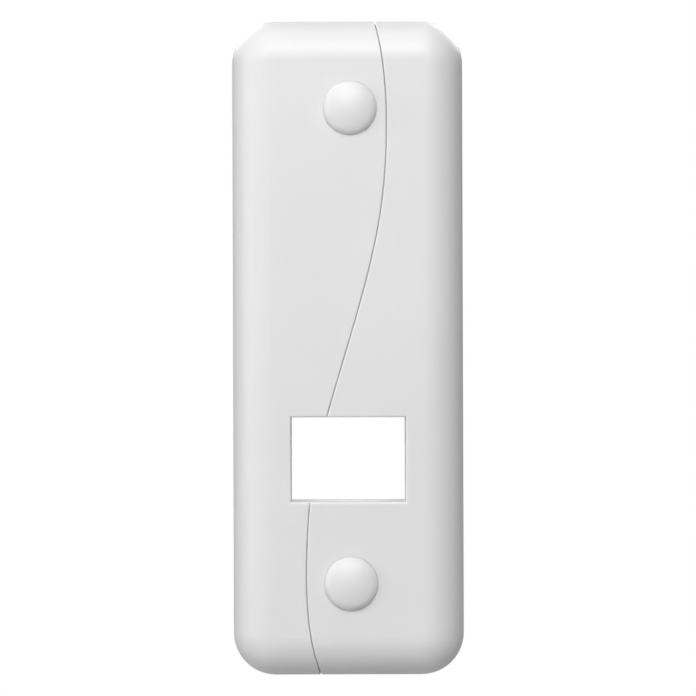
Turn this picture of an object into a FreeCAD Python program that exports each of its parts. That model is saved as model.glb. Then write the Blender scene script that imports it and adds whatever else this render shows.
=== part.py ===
"""Surface-mounted wireless door contact sensor.

The housing is a rear base and two front covers that meet along an S-shaped seam. A rectangular window goes
right through the housing for the actuator block on the door leaf, and the reed switch sits beside it. Each
cover hooks under the base's rim at one end, and a screw under a domed cap holds its other end.

Frame: millimetres, +Z up the length, +X to the right seen from the front, front faces -Y. The origin is the
centre of the mounting face, so the back is at Y = 0 and the front at Y = -DEPTH.
"""

import FreeCAD, Part
import math
import os

V = FreeCAD.Vector
AXIS_X, AXIS_Y, AXIS_Z = V(1, 0, 0), V(0, 1, 0), V(0, 0, 1)
COIL_RUNS = 14

# Housing
LENGTH = 130.0
WIDTH = 45.8
DEPTH = 22.0
CORNER_RADIUS = 8.4
EDGE_RADIUS = 7.6
WALL = 2.0
RIM_HEIGHT = 4.0
PARTING_GAP = 0.3
SEAM_GAP = 0.12
EDGE_BREAK = 0.25
HALF_LENGTH = LENGTH / 2
HALF_WIDTH = WIDTH / 2
FRONT = -DEPTH
COVER_INSIDE = FRONT + WALL
COVER_RIM = -(RIM_HEIGHT + PARTING_GAP)
FLOOR = -WALL
ROOT = 0.5  # how far ribs and posts run into the wall they stand on
POST_RADIUS = 1.9

# Window through the housing
WINDOW_WIDTH = 22.7
WINDOW_HEIGHT = 16.8
WINDOW_Z = -22.1
SLEEVE_WALL = 1.5
SLEEVE_SETBACK = 0.05

# S-shaped seam as (x, z), drawn past both ends of the housing
SEAM_POINTS = [
    (4.9, HALF_LENGTH + 1.5), (7.1, 56.0), (7.75, 44.0), (6.5, 27.0), (2.7, 10.0),
    (-2.6, -8.0), (-6.6, -23.5), (-8.3, -42.0), (-7.6, -56.5), (-4.9, -HALF_LENGTH - 1.5),
]

# Seam strip: a rib of the base that closes the seam from behind, in a rebate inside both covers
SEAM_EDGE = 0.6
REBATE_WIDTH = 2.0
NARROW_REBATE = 0.7
STRIP_WIDTH = 1.2
STRIP_DEPTH = 0.7
STRIP_INNER = 2.9
STRIP_END_CLEARANCE = 1.0
STRIP_WEBS = [(42.0, HALF_LENGTH - 3.0), (-13.0, -8.0)]
SWING_REACH = LENGTH - SEAM_EDGE - 0.35

# Cover fixings: a screw well in each cover over a boss on the base
FIXING_X = 0.5
UPPER_Z = 47.5
LOWER_Z = -46.6
CAP_RADIUS = 5.3
CAP_CROWN_RADIUS = 11.5
CAP_EDGE_ROUND = 1.9
CAP_EDGE_TURN = math.radians(80)
CAP_WALL = 1.2
WELL_RADIUS = 4.2
WELL_OUTER = 5.6
SHELF_TOP = -13.0
SHELF_THICKNESS = 2.0
SCREW_RADIUS = 1.5
SCREW_TIP = -3.0
HEAD_RADIUS = 2.75
HEAD_HEIGHT = 1.9
WASHER_THICKNESS = 0.5
BOSS_RADIUS = 3.6
BOSS_TOP = -10.3
INSERT_RADIUS = 2.3
INSERT_BORE = SCREW_RADIUS + 0.08
INSERT_TOP = -5.7
INSERT_BOTTOM = -2.7

# End hooks: arcs about the housing's end edge, at the height of the parting line
HINGE_Y = -(RIM_HEIGHT + 0.2)
HOOK_X = 10.5
HOOK_WIDTH = 6.0
HOOK_INNER = 2.2
HOOK_OUTER = 3.2
HOOK_CLEARANCE = 0.15
HOOK_SWEEP = 62.0

# Base details
LIP_TOP = -6.0
LIP_THICKNESS = 1.1
LIP_CLEARANCE = 0.12
WALL_HOLE_Z = 57.5
WALL_HOLE_RADIUS = 2.2
PAD_THICKNESS = 0.8
PAD_SPANS = [(3.0, 43.0), (-51.0, -35.5)]
CABLE_SLOT = (-16.5, -7.5, -59.0, -53.0)
CLAMP_X = (-17.0, -7.0)
CLAMP_Z = -42.0
CLAMP_SEAT = -5.5
CLAMP_HALF = 2.2
CLAMP_FRONT = -7.3
SMALL_SCREW_RADIUS = 0.85
SMALL_SCREW_TIP = -3.0

# Circuit board
BOARD_BACK = -5.0
BOARD_THICKNESS = 1.6
BOARD_FRONT = BOARD_BACK - BOARD_THICKNESS
BOARD_SCREWS = [(9.3, 24.7), (11.2, 2.0), (12.4, -39.6)]

# Battery, a 17 mm by 34.5 mm lithium cell beside the board
CELL_X = -11.2
CELL_Y = -11.0
CELL_RADIUS = 8.5
CELL_BOTTOM = 1.0
CELL_LENGTH = 34.5
CELL_TOP = CELL_BOTTOM + CELL_LENGTH
CELL_CRIMP = CELL_TOP - 1.1
WRAP_THICKNESS = 0.15
CAN_WALL = 0.35
CAN_INSIDE = CELL_RADIUS - WRAP_THICKNESS - CAN_WALL
POSITIVE_LEAF_Z = CELL_TOP + 0.3
NEGATIVE_PLATE_Z = -3.45
CONTACT_THICKNESS = 0.3

# Places on the board, as (x, z)
RADIO_AT = (4.2, 33.8)
CAN_SIZE = 10.0
CAN_HEIGHT = 2.2
CAN_SHEET = 0.25
ANTENNA_AT = (15.2, 33.5)
ANTENNA_LENGTH = 9.6
TAMPER_AT = (14.9, 20.5)
TACT_TOP = BOARD_FRONT - 3.5
TAMPER_TOP = -15.4
PLUNGER_RADIUS = 1.7
BUTTON_AT = (3.4, 21.9)
DIP_AT = (5.0, 11.8)
CHIP_AT = (4.4, 1.6)
CRYSTAL_AT = (5.2, -6.3)
CAPACITOR_AT = (14.7, -5.4)
CAPACITOR_HEIGHT = 6.0
CAPACITOR_FOOT = 0.8
LED_AT = (16.2, 13.8)
HEADER_AT = (16.4, 5.2)
REED_AT = (16.5, -22.1)
REED_Y = BOARD_FRONT - 1.7
REED_HALF = 7.0
REED_RADIUS = 1.1
BLADE_WIDTH = 0.9
BLADE_THICKNESS = 0.2
BLADE_GAP = 0.09
BLADE_OVERLAP = 0.5
TERMINAL_AT = (13.0, -50.6)
TERMINAL_TOP = BOARD_FRONT - 8.8
SLIDER_PITCH = 2.54
TERMINAL_PITCH = 3.5


# ---------------------------------------------------------------- shared shapes

def box(x0, x1, y0, y1, z0, z1):
    """A block between two corners, given as pairs in any order."""
    low = V(min(x0, x1), min(y0, y1), min(z0, z1))
    return Part.makeBox(abs(x1 - x0), abs(y1 - y0), abs(z1 - z0), low)


def block_at(x, z, width, height, y0, y1):
    """A block centred on (x, z) that runs from y0 to y1."""
    return box(x - width / 2, x + width / 2, y0, y1, z - height / 2, z + height / 2)


def post(x, z, y0, y1, radius):
    """A cylinder along Y."""
    return Part.makeCylinder(radius, abs(y1 - y0), V(x, min(y0, y1), z), AXIS_Y)


def tube(x, z, y0, y1, outer, inner):
    """A hollow cylinder along Y."""
    return post(x, z, y0, y1, outer).cut(post(x, z, y0 - 1, y1 + 1, inner))


def rod_z(x, y, z0, z1, radius):
    """A cylinder along Z."""
    return Part.makeCylinder(radius, z1 - z0, V(x, y, z0), AXIS_Z)


def fused(pieces):
    """One solid out of several that touch."""
    return pieces[0].multiFuse(pieces[1:]).removeSplitter()


def edges_where(shape, test):
    """Edges whose sample points all pass a test."""
    return [e for e in shape.Edges if all(test(p) for p in e.discretize(5))]


def rounded_block(width, length, front, back, corner, edge=0.0):
    """A block with rounded corners along Y, and with its front edge rounded if edge is given."""
    block = box(-width / 2, width / 2, front, back, -length / 2, length / 2)
    uprights = [e for e in block.Edges if abs(e.tangentAt(e.FirstParameter).y) > 0.99]
    block = block.makeFillet(corner, uprights)
    if edge:
        block = block.makeFillet(edge, edges_where(block, lambda p: abs(p.y - front) < 1e-6))
    return block


def revolved(profile, x, z):
    """A solid turned about the Y axis through (x, z), from a closed list of edges in the XY plane."""
    face = Part.Face(Part.Wire(profile))
    solid = face.revolve(V(0, 0, 0), AXIS_Y, 360)
    return solid.translated(V(x, 0, z))


def line(a, b):
    return Part.LineSegment(V(a[0], a[1], 0), V(b[0], b[1], 0)).toShape()


def arc(a, b, c):
    points = [V(p[0], p[1], 0) for p in (a, b, c)]
    return Part.Arc(*points).toShape()


def coil(x, y, z, radius, wire_radius, pitch, length, axis):
    """A coil spring of round wire with its axis along Y or Z, drawn in short straight runs."""
    count = int(COIL_RUNS * length / pitch)
    points = []
    for i in range(count + 1):
        turn = 2 * math.pi * i / COIL_RUNS
        points.append(V(radius * math.cos(turn), radius * math.sin(turn), pitch * i / COIL_RUNS))
    section = Part.Wire(Part.Circle(points[0], points[1] - points[0], wire_radius).toShape())
    solid = Part.makePolygon(points).makePipeShell([section], True, False, 1)
    if axis is AXIS_Y:
        solid.rotate(V(0, 0, 0), AXIS_X, 90)
    solid.translate(V(x, y, z))
    return solid


def save(name, shape):
    solids = [s.removeSplitter() for s in shape.Solids]
    for solid in solids:
        assert solid.isValid() and solid.Volume > 0, name
    whole = solids[0] if len(solids) == 1 else Part.makeCompound(solids)
    whole.exportStep("parts/" + name + ".step")
    print("%-24s %d solid(s) %9.2f mm3" % (name, len(solids), sum(s.Volume for s in solids)))


# ---------------------------------------------------------------- covers

def seam_curve():
    curve = Part.BSplineCurve()
    curve.interpolate([V(x, 0, z) for x, z in SEAM_POINTS])
    return curve.toShape()


def left_of_seam(shift):
    """Everything to the left of the seam moved by shift, as a solid."""
    seam = seam_curve()
    seam.translate(V(shift, 0, 0))
    top, bottom = seam.Vertexes[0].Point, seam.Vertexes[-1].Point
    side = -WIDTH
    corners = [bottom, V(side, 0, bottom.z), V(side, 0, top.z), top]
    straight = [Part.LineSegment(a, b).toShape() for a, b in zip(corners, corners[1:])]
    face = Part.Face(Part.Wire([seam] + straight))
    face.translate(V(0, -2 * DEPTH, 0))
    return face.extrude(V(0, 3 * DEPTH, 0))


def seam_band(width):
    """A band of the width given along the seam, through the whole depth."""
    return left_of_seam(width / 2).cut(left_of_seam(-width / 2))


def inset_block(inset, back):
    """The covers' outer shape moved in by an inset, and running back to a given Y."""
    return rounded_block(WIDTH - 2 * inset, LENGTH - 2 * inset, FRONT + inset, back,
                         CORNER_RADIUS - inset, EDGE_RADIUS - inset)


def window_surround(margin):
    """The part of the covers' face within a margin of the window."""
    return block_at(0, WINDOW_Z, WINDOW_WIDTH + 2 * margin, WINDOW_HEIGHT + 2 * margin,
                    FRONT - 1, COVER_INSIDE)


def seam_rebate():
    """What is cut from inside both covers along the seam, leaving thin edges; it narrows beside the window."""
    wide = seam_band(REBATE_WIDTH).cut(window_surround(SLEEVE_WALL))
    whole = wide.fuse(seam_band(NARROW_REBATE))
    return whole.common(inset_block(SEAM_EDGE, COVER_RIM + 1))


def seam_strip():
    """The base's rib behind the seam, with webs down to the floor where nothing is in the way.

    Its ends are rounded to clear the far edge of each cover as it swings open.
    """
    outside = inset_block(STRIP_DEPTH, -RIM_HEIGHT + 0.5)
    for end in (-HALF_LENGTH, HALF_LENGTH):
        start = V(-WIDTH, HINGE_Y, end)
        outside = outside.common(Part.makeCylinder(SWING_REACH, 2 * WIDTH, start, AXIS_X))
    pieces = [outside.cut(inset_block(STRIP_INNER, -RIM_HEIGHT + 1))]
    for z0, z1 in STRIP_WEBS:
        pieces.append(outside.common(box(-WIDTH, WIDTH, FRONT, -RIM_HEIGHT, z0, z1)))
        pieces.append(box(-WIDTH, WIDTH, -RIM_HEIGHT - 0.1, FLOOR + ROOT, z0, z1))
    band = seam_band(STRIP_WIDTH)
    window = block_at(0, WINDOW_Z, WINDOW_WIDTH + 1, WINDOW_HEIGHT + 1, FRONT - 1, 1)
    strip = fused([band.common(piece) for piece in pieces]).cut(window)
    return strip.cut(window_surround(SLEEVE_WALL + STRIP_END_CLEARANCE))


def cover_outside():
    return rounded_block(WIDTH, LENGTH, FRONT, COVER_RIM, CORNER_RADIUS, EDGE_RADIUS)


def cover_shell():
    inside = rounded_block(WIDTH - 2 * WALL, LENGTH - 2 * WALL, COVER_INSIDE, COVER_RIM + 1,
                           CORNER_RADIUS - WALL, EDGE_RADIUS - WALL)
    window = block_at(0, WINDOW_Z, WINDOW_WIDTH, WINDOW_HEIGHT, FRONT - 1, COVER_RIM)
    return cover_outside().cut(inside).cut(window)


def break_edges(cover):
    """Rounds the outer edge along the seam and chamfers the window's front edge."""
    outside = cover_outside().Shells[0]
    seam = seam_curve()

    def on_outside(p):
        return outside.distToShape(Part.Vertex(p))[0] < 1e-3

    def near_seam(p):
        return abs(seam.distToShape(Part.Vertex(V(p.x, 0, p.z)))[0] - SEAM_GAP / 2) < 0.03

    def beside_seam(p):
        return on_outside(p) and p.y < COVER_RIM - 0.01 and near_seam(p)

    cover = cover.makeFillet(EDGE_BREAK, edges_where(cover, beside_seam))
    w, h, c = WINDOW_WIDTH / 2, WINDOW_HEIGHT / 2, EDGE_BREAK
    rings = []
    for y, grow in ((FRONT - 0.05, c + 0.05), (FRONT + c, 0)):
        corners = [V(sx * (w + grow), y, WINDOW_Z + sz * (h + grow))
                   for sx, sz in ((-1, -1), (1, -1), (1, 1), (-1, 1), (-1, -1))]
        rings.append(Part.makePolygon(corners))
    return cover.cut(Part.makeLoft(rings, True, True))


def screw_well(z):
    """The tube, shelf and hole that take a cover screw, and what they cut out of the cover's face."""
    well = post(FIXING_X, z, FRONT + 0.5, SHELF_TOP + SHELF_THICKNESS, WELL_OUTER)
    hollow = post(FIXING_X, z, FRONT - 1, SHELF_TOP, WELL_RADIUS)
    hole = post(FIXING_X, z, SHELF_TOP - 1, SHELF_TOP + SHELF_THICKNESS + 1, SCREW_RADIUS + 0.3)
    return well, [hollow, hole]


def end_hook():
    """The hook at the lower end: an arc about the end edge, and the block that ties it to the cover."""
    left = -HOOK_X - HOOK_WIDTH / 2
    axis_point = V(left, HINGE_Y, -HALF_LENGTH)
    corners = [V(left, HINGE_Y, -HALF_LENGTH + r) for r in (HOOK_INNER, HOOK_OUTER)]
    section = Part.makePolygon([corners[0], corners[1], corners[1] + V(HOOK_WIDTH, 0, 0),
                                corners[0] + V(HOOK_WIDTH, 0, 0), corners[0]])
    arm = Part.Face(section).revolve(axis_point, AXIS_X, -HOOK_SWEEP)
    root = box(left, left + HOOK_WIDTH, HINGE_Y + 0.01, HINGE_Y - 2.6,
               -HALF_LENGTH + WALL - 0.4, -HALF_LENGTH + HOOK_OUTER)
    root = root.cut(box(left - 1, left + HOOK_WIDTH + 1, COVER_RIM, HINGE_Y + 1,
                        -HALF_LENGTH, -HALF_LENGTH + HOOK_INNER))
    return fused([arm, root])


def turned(shape):
    """The same shape at the other end of the housing, turned half round about Y."""
    copy = shape.copy()
    copy.rotate(V(0, 0, 0), AXIS_Y, 180)
    return copy


def stiffener_ribs(cover, places):
    """Low ribs inside a cover's face, trimmed to its cavity."""
    cavity = rounded_block(WIDTH - 2 * WALL + 1, LENGTH - 2 * WALL + 1, COVER_INSIDE - 0.5, COVER_RIM,
                           CORNER_RADIUS - WALL, EDGE_RADIUS - WALL)
    pieces = [cover]
    for x0, x1, z in places:
        pieces.append(box(x0, x1, COVER_INSIDE - 0.3, COVER_INSIDE + 0.6, z - 0.5, z + 0.5).common(cavity))
    return fused(pieces)


def left_cover():
    cover = break_edges(cover_shell().common(left_of_seam(-SEAM_GAP / 2))).cut(seam_rebate())
    well, cuts = screw_well(UPPER_Z)
    cover = fused([cover, well, end_hook()])
    for cut in cuts:
        cover = cover.cut(cut)
    return stiffener_ribs(cover, [(-21.4, 3.0, 60.0), (-21.4, -14.0, -36.0), (-21.4, -10.0, -50.0)])


def right_cover():
    cover = break_edges(cover_shell().cut(left_of_seam(SEAM_GAP / 2))).cut(seam_rebate())
    well, cuts = screw_well(LOWER_Z)
    x, z = TAMPER_AT
    tamper_post = post(x, z, COVER_INSIDE - 0.5, TAMPER_TOP - 0.05, POST_RADIUS)
    cover = fused([cover, well, turned(end_hook()), tamper_post])
    for cut in cuts:
        cover = cover.cut(cut)
    return stiffener_ribs(cover, [(9.0, 21.4, 50.0), (8.4, 21.4, 6.0), (-4.0, 21.4, -60.0)])


# ---------------------------------------------------------------- cover fixings

def screw_cap(z):
    """A domed cap that sits on the cover's face, with a slotted snap skirt."""
    r, crown = CAP_EDGE_ROUND, CAP_CROWN_RADIUS
    dome_end = CAP_RADIUS - r * (math.sin(CAP_EDGE_TURN) - CAP_RADIUS / crown) / (1 - r / crown)
    slope = math.asin(dome_end / crown)
    centre = (dome_end - r * math.sin(slope), FRONT + r * math.cos(CAP_EDGE_TURN))
    edge = (centre[0] + r * math.sin(CAP_EDGE_TURN), FRONT)
    turn = (slope + CAP_EDGE_TURN) / 2
    edge_mid = (centre[0] + r * math.sin(turn), centre[1] - r * math.cos(turn))
    dome_y = centre[1] - r * math.cos(slope)
    crown_y = dome_y - crown * (1 - math.cos(slope))
    dome_mid = (crown * math.sin(slope / 2), crown_y + crown * (1 - math.cos(slope / 2)))
    skirt_outer, skirt_inner, skirt_end = WELL_RADIUS - 0.1, WELL_RADIUS - 0.95, FRONT + 5.8
    barb = WELL_RADIUS - 0.04
    ceiling = crown_y + CAP_WALL
    profile = [
        arc((0, crown_y), dome_mid, (dome_end, dome_y)),
        arc((dome_end, dome_y), edge_mid, edge),
        line(edge, (skirt_outer, FRONT)),
        line((skirt_outer, FRONT), (skirt_outer, skirt_end - 1.6)),
        line((skirt_outer, skirt_end - 1.6), (barb, skirt_end - 1.2)),
        line((barb, skirt_end - 1.2), (skirt_outer - 0.2, skirt_end)),
        line((skirt_outer - 0.2, skirt_end), (skirt_inner, skirt_end)),
        line((skirt_inner, skirt_end), (skirt_inner, ceiling)),
        line((skirt_inner, ceiling), (0, ceiling)),
        line((0, ceiling), (0, crown_y)),
    ]
    cap = revolved(profile, FIXING_X, z)
    slots = [box(FIXING_X - 6, FIXING_X + 6, FRONT + 1.3, skirt_end + 1, z - 0.5, z + 0.5),
             box(FIXING_X - 0.5, FIXING_X + 0.5, FRONT + 1.3, skirt_end + 1, z - 6, z + 6)]
    return cap.cut(fused(slots))


def cross_recess(x, z, top, width, depth):
    """A cross-head recess with tapered wings."""
    wings = []
    for across in (True, False):
        a, b = (width / 2, width / 7) if across else (width / 7, width / 2)
        rings = []
        for y, k in ((top - 0.05, 1.0), (top + depth, 0.55)):
            corners = [V(x + sx * a * k, y, z + sz * b * k)
                       for sx, sz in ((-1, -1), (1, -1), (1, 1), (-1, 1), (-1, -1))]
            rings.append(Part.makePolygon(corners))
        wings.append(Part.makeLoft(rings, True, True))
    return wings[0].fuse(wings[1])


def pan_screw(x, z, seat, tip, shank, head, height):
    """A pan-head screw along Y: rounded head, plain shank at thread diameter and a chamfered tip."""
    top = seat - height
    shoulder = head * 0.62
    profile = [
        line((0, top), (shoulder, top)),
        arc((shoulder, top), (head * 0.92, top + height * 0.24), (head, seat - height * 0.25)),
        line((head, seat - height * 0.25), (head, seat)),
        line((head, seat), (shank, seat)),
        line((shank, seat), (shank, tip - shank * 0.35)),
        line((shank, tip - shank * 0.35), (shank * 0.62, tip)),
        line((shank * 0.62, tip), (0, tip)),
        line((0, tip), (0, top)),
    ]
    screw = revolved(profile, x, z)
    return screw.cut(cross_recess(x, z, top, head * 1.15, height * 0.62))


def cover_screw(z):
    return pan_screw(FIXING_X, z, SHELF_TOP, SCREW_TIP, SCREW_RADIUS, HEAD_RADIUS, HEAD_HEIGHT)


def retaining_washer(z):
    """The washer under the shelf that keeps the screw in its cover."""
    under = SHELF_TOP + SHELF_THICKNESS
    return tube(FIXING_X, z, under, under + WASHER_THICKNESS, 2.9, SCREW_RADIUS)


def threaded_insert(z):
    insert = tube(FIXING_X, z, INSERT_TOP, INSERT_BOTTOM, INSERT_RADIUS, INSERT_BORE)
    groove = tube(FIXING_X, z, -4.45, -3.95, INSERT_RADIUS + 1, INSERT_RADIUS - 0.2)
    return insert.cut(groove)


# ---------------------------------------------------------------- rear base

def lip_ring():
    """The lip that centres the covers, with a foot that joins it to the rim."""
    inner_w, inner_l = WIDTH - 2 * WALL, LENGTH - 2 * WALL
    corner = CORNER_RADIUS - WALL
    out = 2 * LIP_CLEARANCE
    inn = out + 2 * LIP_THICKNESS
    tall = rounded_block(inner_w - out, inner_l - out, LIP_TOP, FLOOR, corner - LIP_CLEARANCE)
    foot = rounded_block(inner_w + 1, inner_l + 1, -RIM_HEIGHT, FLOOR, corner + 0.5)
    hollow = rounded_block(inner_w - inn, inner_l - inn, LIP_TOP - 1, FLOOR + 0.01, corner - inn / 2)
    return tall.fuse(foot).cut(hollow)


def hook_slot():
    """The arc cut into the rim, floor and lip for the lower hook."""
    left = -HOOK_X - HOOK_WIDTH / 2 - 0.2
    width = HOOK_WIDTH + 0.4
    axis_point = V(left, HINGE_Y, -HALF_LENGTH)
    radii = (HOOK_INNER - HOOK_CLEARANCE, HOOK_OUTER + HOOK_CLEARANCE)
    corners = [V(left, HINGE_Y, -HALF_LENGTH + r) for r in radii]
    section = Part.makePolygon([corners[0], corners[1], corners[1] + V(width, 0, 0),
                                corners[0] + V(width, 0, 0), corners[0]])
    sweep = Part.Face(section).revolve(axis_point, AXIS_X, -(HOOK_SWEEP + 5))
    opening = box(left, left + width, HINGE_Y + 0.3, LIP_TOP - 1,
                  -HALF_LENGTH + HOOK_INNER - HOOK_CLEARANCE, -HALF_LENGTH + 4.6)
    return sweep.fuse(opening)


def battery_cradle():
    """Two saddles under the cell and a wall at each end for its contacts."""
    cell = rod_z(CELL_X, CELL_Y, -20, 60, CELL_RADIUS + 0.2)
    saddles = [box(CELL_X - 6.4, CELL_X + 6.4, FLOOR + ROOT, -6.2, z - 0.7, z + 0.7).cut(cell)
               for z in (8, 28)]
    ends = [box(CELL_X - 6.5, CELL_X + 6.5, FLOOR + ROOT, -16.5, z, z + 1.5)
            for z in (NEGATIVE_PLATE_Z - 1.55, POSITIVE_LEAF_Z + CONTACT_THICKNESS + 0.05)]
    keepers = [box(CELL_X + s * 6.5 - 0.6, CELL_X + s * 6.5 + 0.6, FLOOR + ROOT, -12, z0, z1)
               for s in (-1, 1) for z0, z1 in ((-5.0, -3.0), (CELL_TOP + 0.15, CELL_TOP + 2.15))]
    return saddles + ends + keepers


def board_posts():
    return [post(x, z, FLOOR + ROOT, BOARD_BACK, 2.3) for x, z in BOARD_SCREWS]


def rear_base():
    tray = rounded_block(WIDTH, LENGTH, -RIM_HEIGHT, 0, CORNER_RADIUS)
    front_edge = edges_where(tray, lambda p: abs(p.y + RIM_HEIGHT) < 1e-6)
    back_edge = edges_where(tray, lambda p: abs(p.y) < 1e-6)
    tray = tray.makeChamfer(0.3, front_edge + back_edge)
    hollow = rounded_block(WIDTH - 2 * WALL, LENGTH - 2 * WALL, -RIM_HEIGHT - 1, FLOOR, CORNER_RADIUS - WALL)
    sleeve_w = WINDOW_WIDTH + 2 * SLEEVE_WALL
    sleeve_h = WINDOW_HEIGHT + 2 * SLEEVE_WALL
    sleeve = block_at(0, WINDOW_Z, sleeve_w, sleeve_h, FLOOR + ROOT, COVER_INSIDE + 0.1)
    bosses = [post(FIXING_X, z, FLOOR + ROOT, BOSS_TOP, BOSS_RADIUS) for z in (UPPER_Z, LOWER_Z)]
    gussets = [box(FIXING_X - 5.4, FIXING_X + 5.4, FLOOR + ROOT, -7.0, z - 0.5, z + 0.5)
               for z in (UPPER_Z, LOWER_Z)]
    clamp_posts = [post(x, CLAMP_Z, FLOOR + ROOT, CLAMP_SEAT, POST_RADIUS) for x in CLAMP_X]
    base = fused([tray.cut(hollow), lip_ring(), sleeve, seam_strip()] + bosses + gussets + clamp_posts
                 + battery_cradle() + board_posts())
    x0, x1, z0, z1 = CABLE_SLOT
    cuts = [
        block_at(0, WINDOW_Z, WINDOW_WIDTH + 2 * SLEEVE_SETBACK,
                 WINDOW_HEIGHT + 2 * SLEEVE_SETBACK, 1, FRONT),
        box(x0, x1, 1, -RIM_HEIGHT + 1, z0, z1),
        hook_slot(), turned(hook_slot()),
    ]
    cuts += [post(FIXING_X, z, BOSS_TOP - 1, INSERT_BOTTOM, INSERT_RADIUS) for z in (UPPER_Z, LOWER_Z)]
    cuts += [post(0, s * WALL_HOLE_Z, 1, FLOOR - 1, WALL_HOLE_RADIUS) for s in (-1, 1)]
    cuts += [post(x, z, BOARD_BACK - 1, FLOOR, SMALL_SCREW_RADIUS) for x, z in BOARD_SCREWS]
    cuts += [post(x, CLAMP_Z, CLAMP_SEAT - 1, FLOOR, SMALL_SCREW_RADIUS) for x in CLAMP_X]
    cuts += [pad_recess(z0, z1) for z0, z1 in PAD_SPANS]
    cuts += [box(-5.5, -3.9, -4.8, -6.4, z - 0.05, z + 0.35) for z in (POSITIVE_LEAF_Z, NEGATIVE_PLATE_Z)]
    for cut in cuts:
        base = base.cut(cut)
    return base


def pad_recess(z0, z1):
    return box(-15, 15, 1, -PAD_THICKNESS, z0, z1)


def adhesive_pads():
    """Two strips of foam tape in recesses, level with the back face."""
    pads = []
    for z0, z1 in PAD_SPANS:
        pad = box(-14.8, 14.8, 0, -PAD_THICKNESS, z0 + 0.2, z1 - 0.2)
        uprights = [e for e in pad.Edges if abs(e.tangentAt(e.FirstParameter).y) > 0.99]
        pads.append(pad.makeFillet(1.2, uprights))
    return Part.makeCompound(pads)


def cable_clamp():
    """The bar that holds an external contact's cable, arched in the middle."""
    mid = sum(CLAMP_X) / 2
    bar = box(CLAMP_X[0] - 2, CLAMP_X[1] + 2, CLAMP_SEAT, CLAMP_FRONT,
              CLAMP_Z - CLAMP_HALF, CLAMP_Z + CLAMP_HALF)
    bar = bar.makeFillet(1.6, [e for e in bar.Edges if abs(e.tangentAt(e.FirstParameter).y) > 0.99])
    arch = rod_z(mid, CLAMP_SEAT + 0.5, CLAMP_Z - CLAMP_HALF, CLAMP_Z + CLAMP_HALF, 3.6)
    hollow = rod_z(mid, CLAMP_SEAT + 0.5, CLAMP_Z - 3, CLAMP_Z + 3, 2.3)
    below = box(mid - 5, mid + 5, 0, CLAMP_SEAT, CLAMP_Z - 3, CLAMP_Z + 3)
    clamp = fused([bar, arch]).cut(hollow).cut(below)
    for x in CLAMP_X:
        clamp = clamp.cut(post(x, CLAMP_Z, CLAMP_SEAT + 1, CLAMP_FRONT - 1, SMALL_SCREW_RADIUS + 0.3))
    return clamp


# ---------------------------------------------------------------- circuit board and what is on it

def circuit_board():
    outline = [(-1.6, -9.8), (14.0, -9.8), (14.0, -35.0), (7.0, -35.0), (7.0, -59.6), (19.0, -59.6),
               (19.0, 40.0), (-1.6, 40.0), (-1.6, -9.8)]
    face = Part.Face(Part.makePolygon([V(x, BOARD_FRONT, z) for x, z in outline]))
    board = face.extrude(V(0, BOARD_THICKNESS, 0))

    def corner(x, z):
        return edges_where(board, lambda p: abs(p.x - x) < 1e-6 and abs(p.z - z) < 1e-6)

    board = board.makeFillet(4.8, corner(19.0, -59.6))
    board = board.makeFillet(1.0, corner(-1.6, 40.0) + corner(19.0, 40.0) + corner(-1.6, -9.8)
                             + corner(7.0, -35.0) + corner(7.0, -59.6))
    for x, z in BOARD_SCREWS:
        board = board.cut(post(x, z, BOARD_BACK + 1, BOARD_FRONT - 1, SMALL_SCREW_RADIUS + 0.4))
    return board


def board_screws():
    return Part.makeCompound([pan_screw(x, z, BOARD_FRONT, SMALL_SCREW_TIP, SMALL_SCREW_RADIUS, 2.0, 1.3)
                              for x, z in BOARD_SCREWS])


def clamp_screws():
    return Part.makeCompound([pan_screw(x, CLAMP_Z, CLAMP_FRONT, SMALL_SCREW_TIP, SMALL_SCREW_RADIUS,
                                        1.8, 1.2) for x in CLAMP_X])


def radio_shield_can():
    """A drawn metal lid over the radio, with vent holes."""
    x, z = RADIO_AT
    can = block_at(x, z, CAN_SIZE, CAN_SIZE, BOARD_FRONT, BOARD_FRONT - CAN_HEIGHT)
    can = can.makeFillet(0.7, [e for e in can.Edges if abs(e.tangentAt(e.FirstParameter).y) > 0.99])
    inside = CAN_SIZE - 2 * CAN_SHEET
    under = BOARD_FRONT - CAN_HEIGHT + CAN_SHEET
    can = can.cut(block_at(x, z, inside, inside, BOARD_FRONT + 1, under))
    for i in (-1, 0, 1):
        for k in (-1, 0, 1):
            can = can.cut(post(x + 2.6 * i, z + 2.6 * k, BOARD_FRONT, BOARD_FRONT - 3, 0.4))
    return can


def antenna_coil():
    """A helical antenna of spring wire lying along Z."""
    x, z = ANTENNA_AT
    return coil(x, BOARD_FRONT - 3.1, z - ANTENNA_LENGTH / 2, 2.4, 0.35, 1.2, ANTENNA_LENGTH, AXIS_Z)


def tact_body(at, hole):
    """A square switch body with a round hole for its plunger."""
    x, z = at
    body = block_at(x, z, 6.0, 6.0, BOARD_FRONT, BOARD_FRONT - 3.2)
    lid = block_at(x, z, 5.6, 5.6, BOARD_FRONT - 3.2, BOARD_FRONT - 3.5)
    studs = [post(x + 2.1 * i, z + 2.1 * k, BOARD_FRONT - 3.4, BOARD_FRONT - 3.7, 0.4)
             for i in (-1, 1) for k in (-1, 1)]
    return fused([body, lid] + studs).cut(post(x, z, BOARD_FRONT - 0.6, BOARD_FRONT - 5, hole))


def test_button_plunger():
    x, z = BUTTON_AT
    plunger = post(x, z, TACT_TOP + 0.8, TACT_TOP - 0.9, PLUNGER_RADIUS)
    return plunger.makeChamfer(0.2, edges_where(plunger, lambda p: abs(p.y - TACT_TOP + 0.9) < 1e-6))


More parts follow.
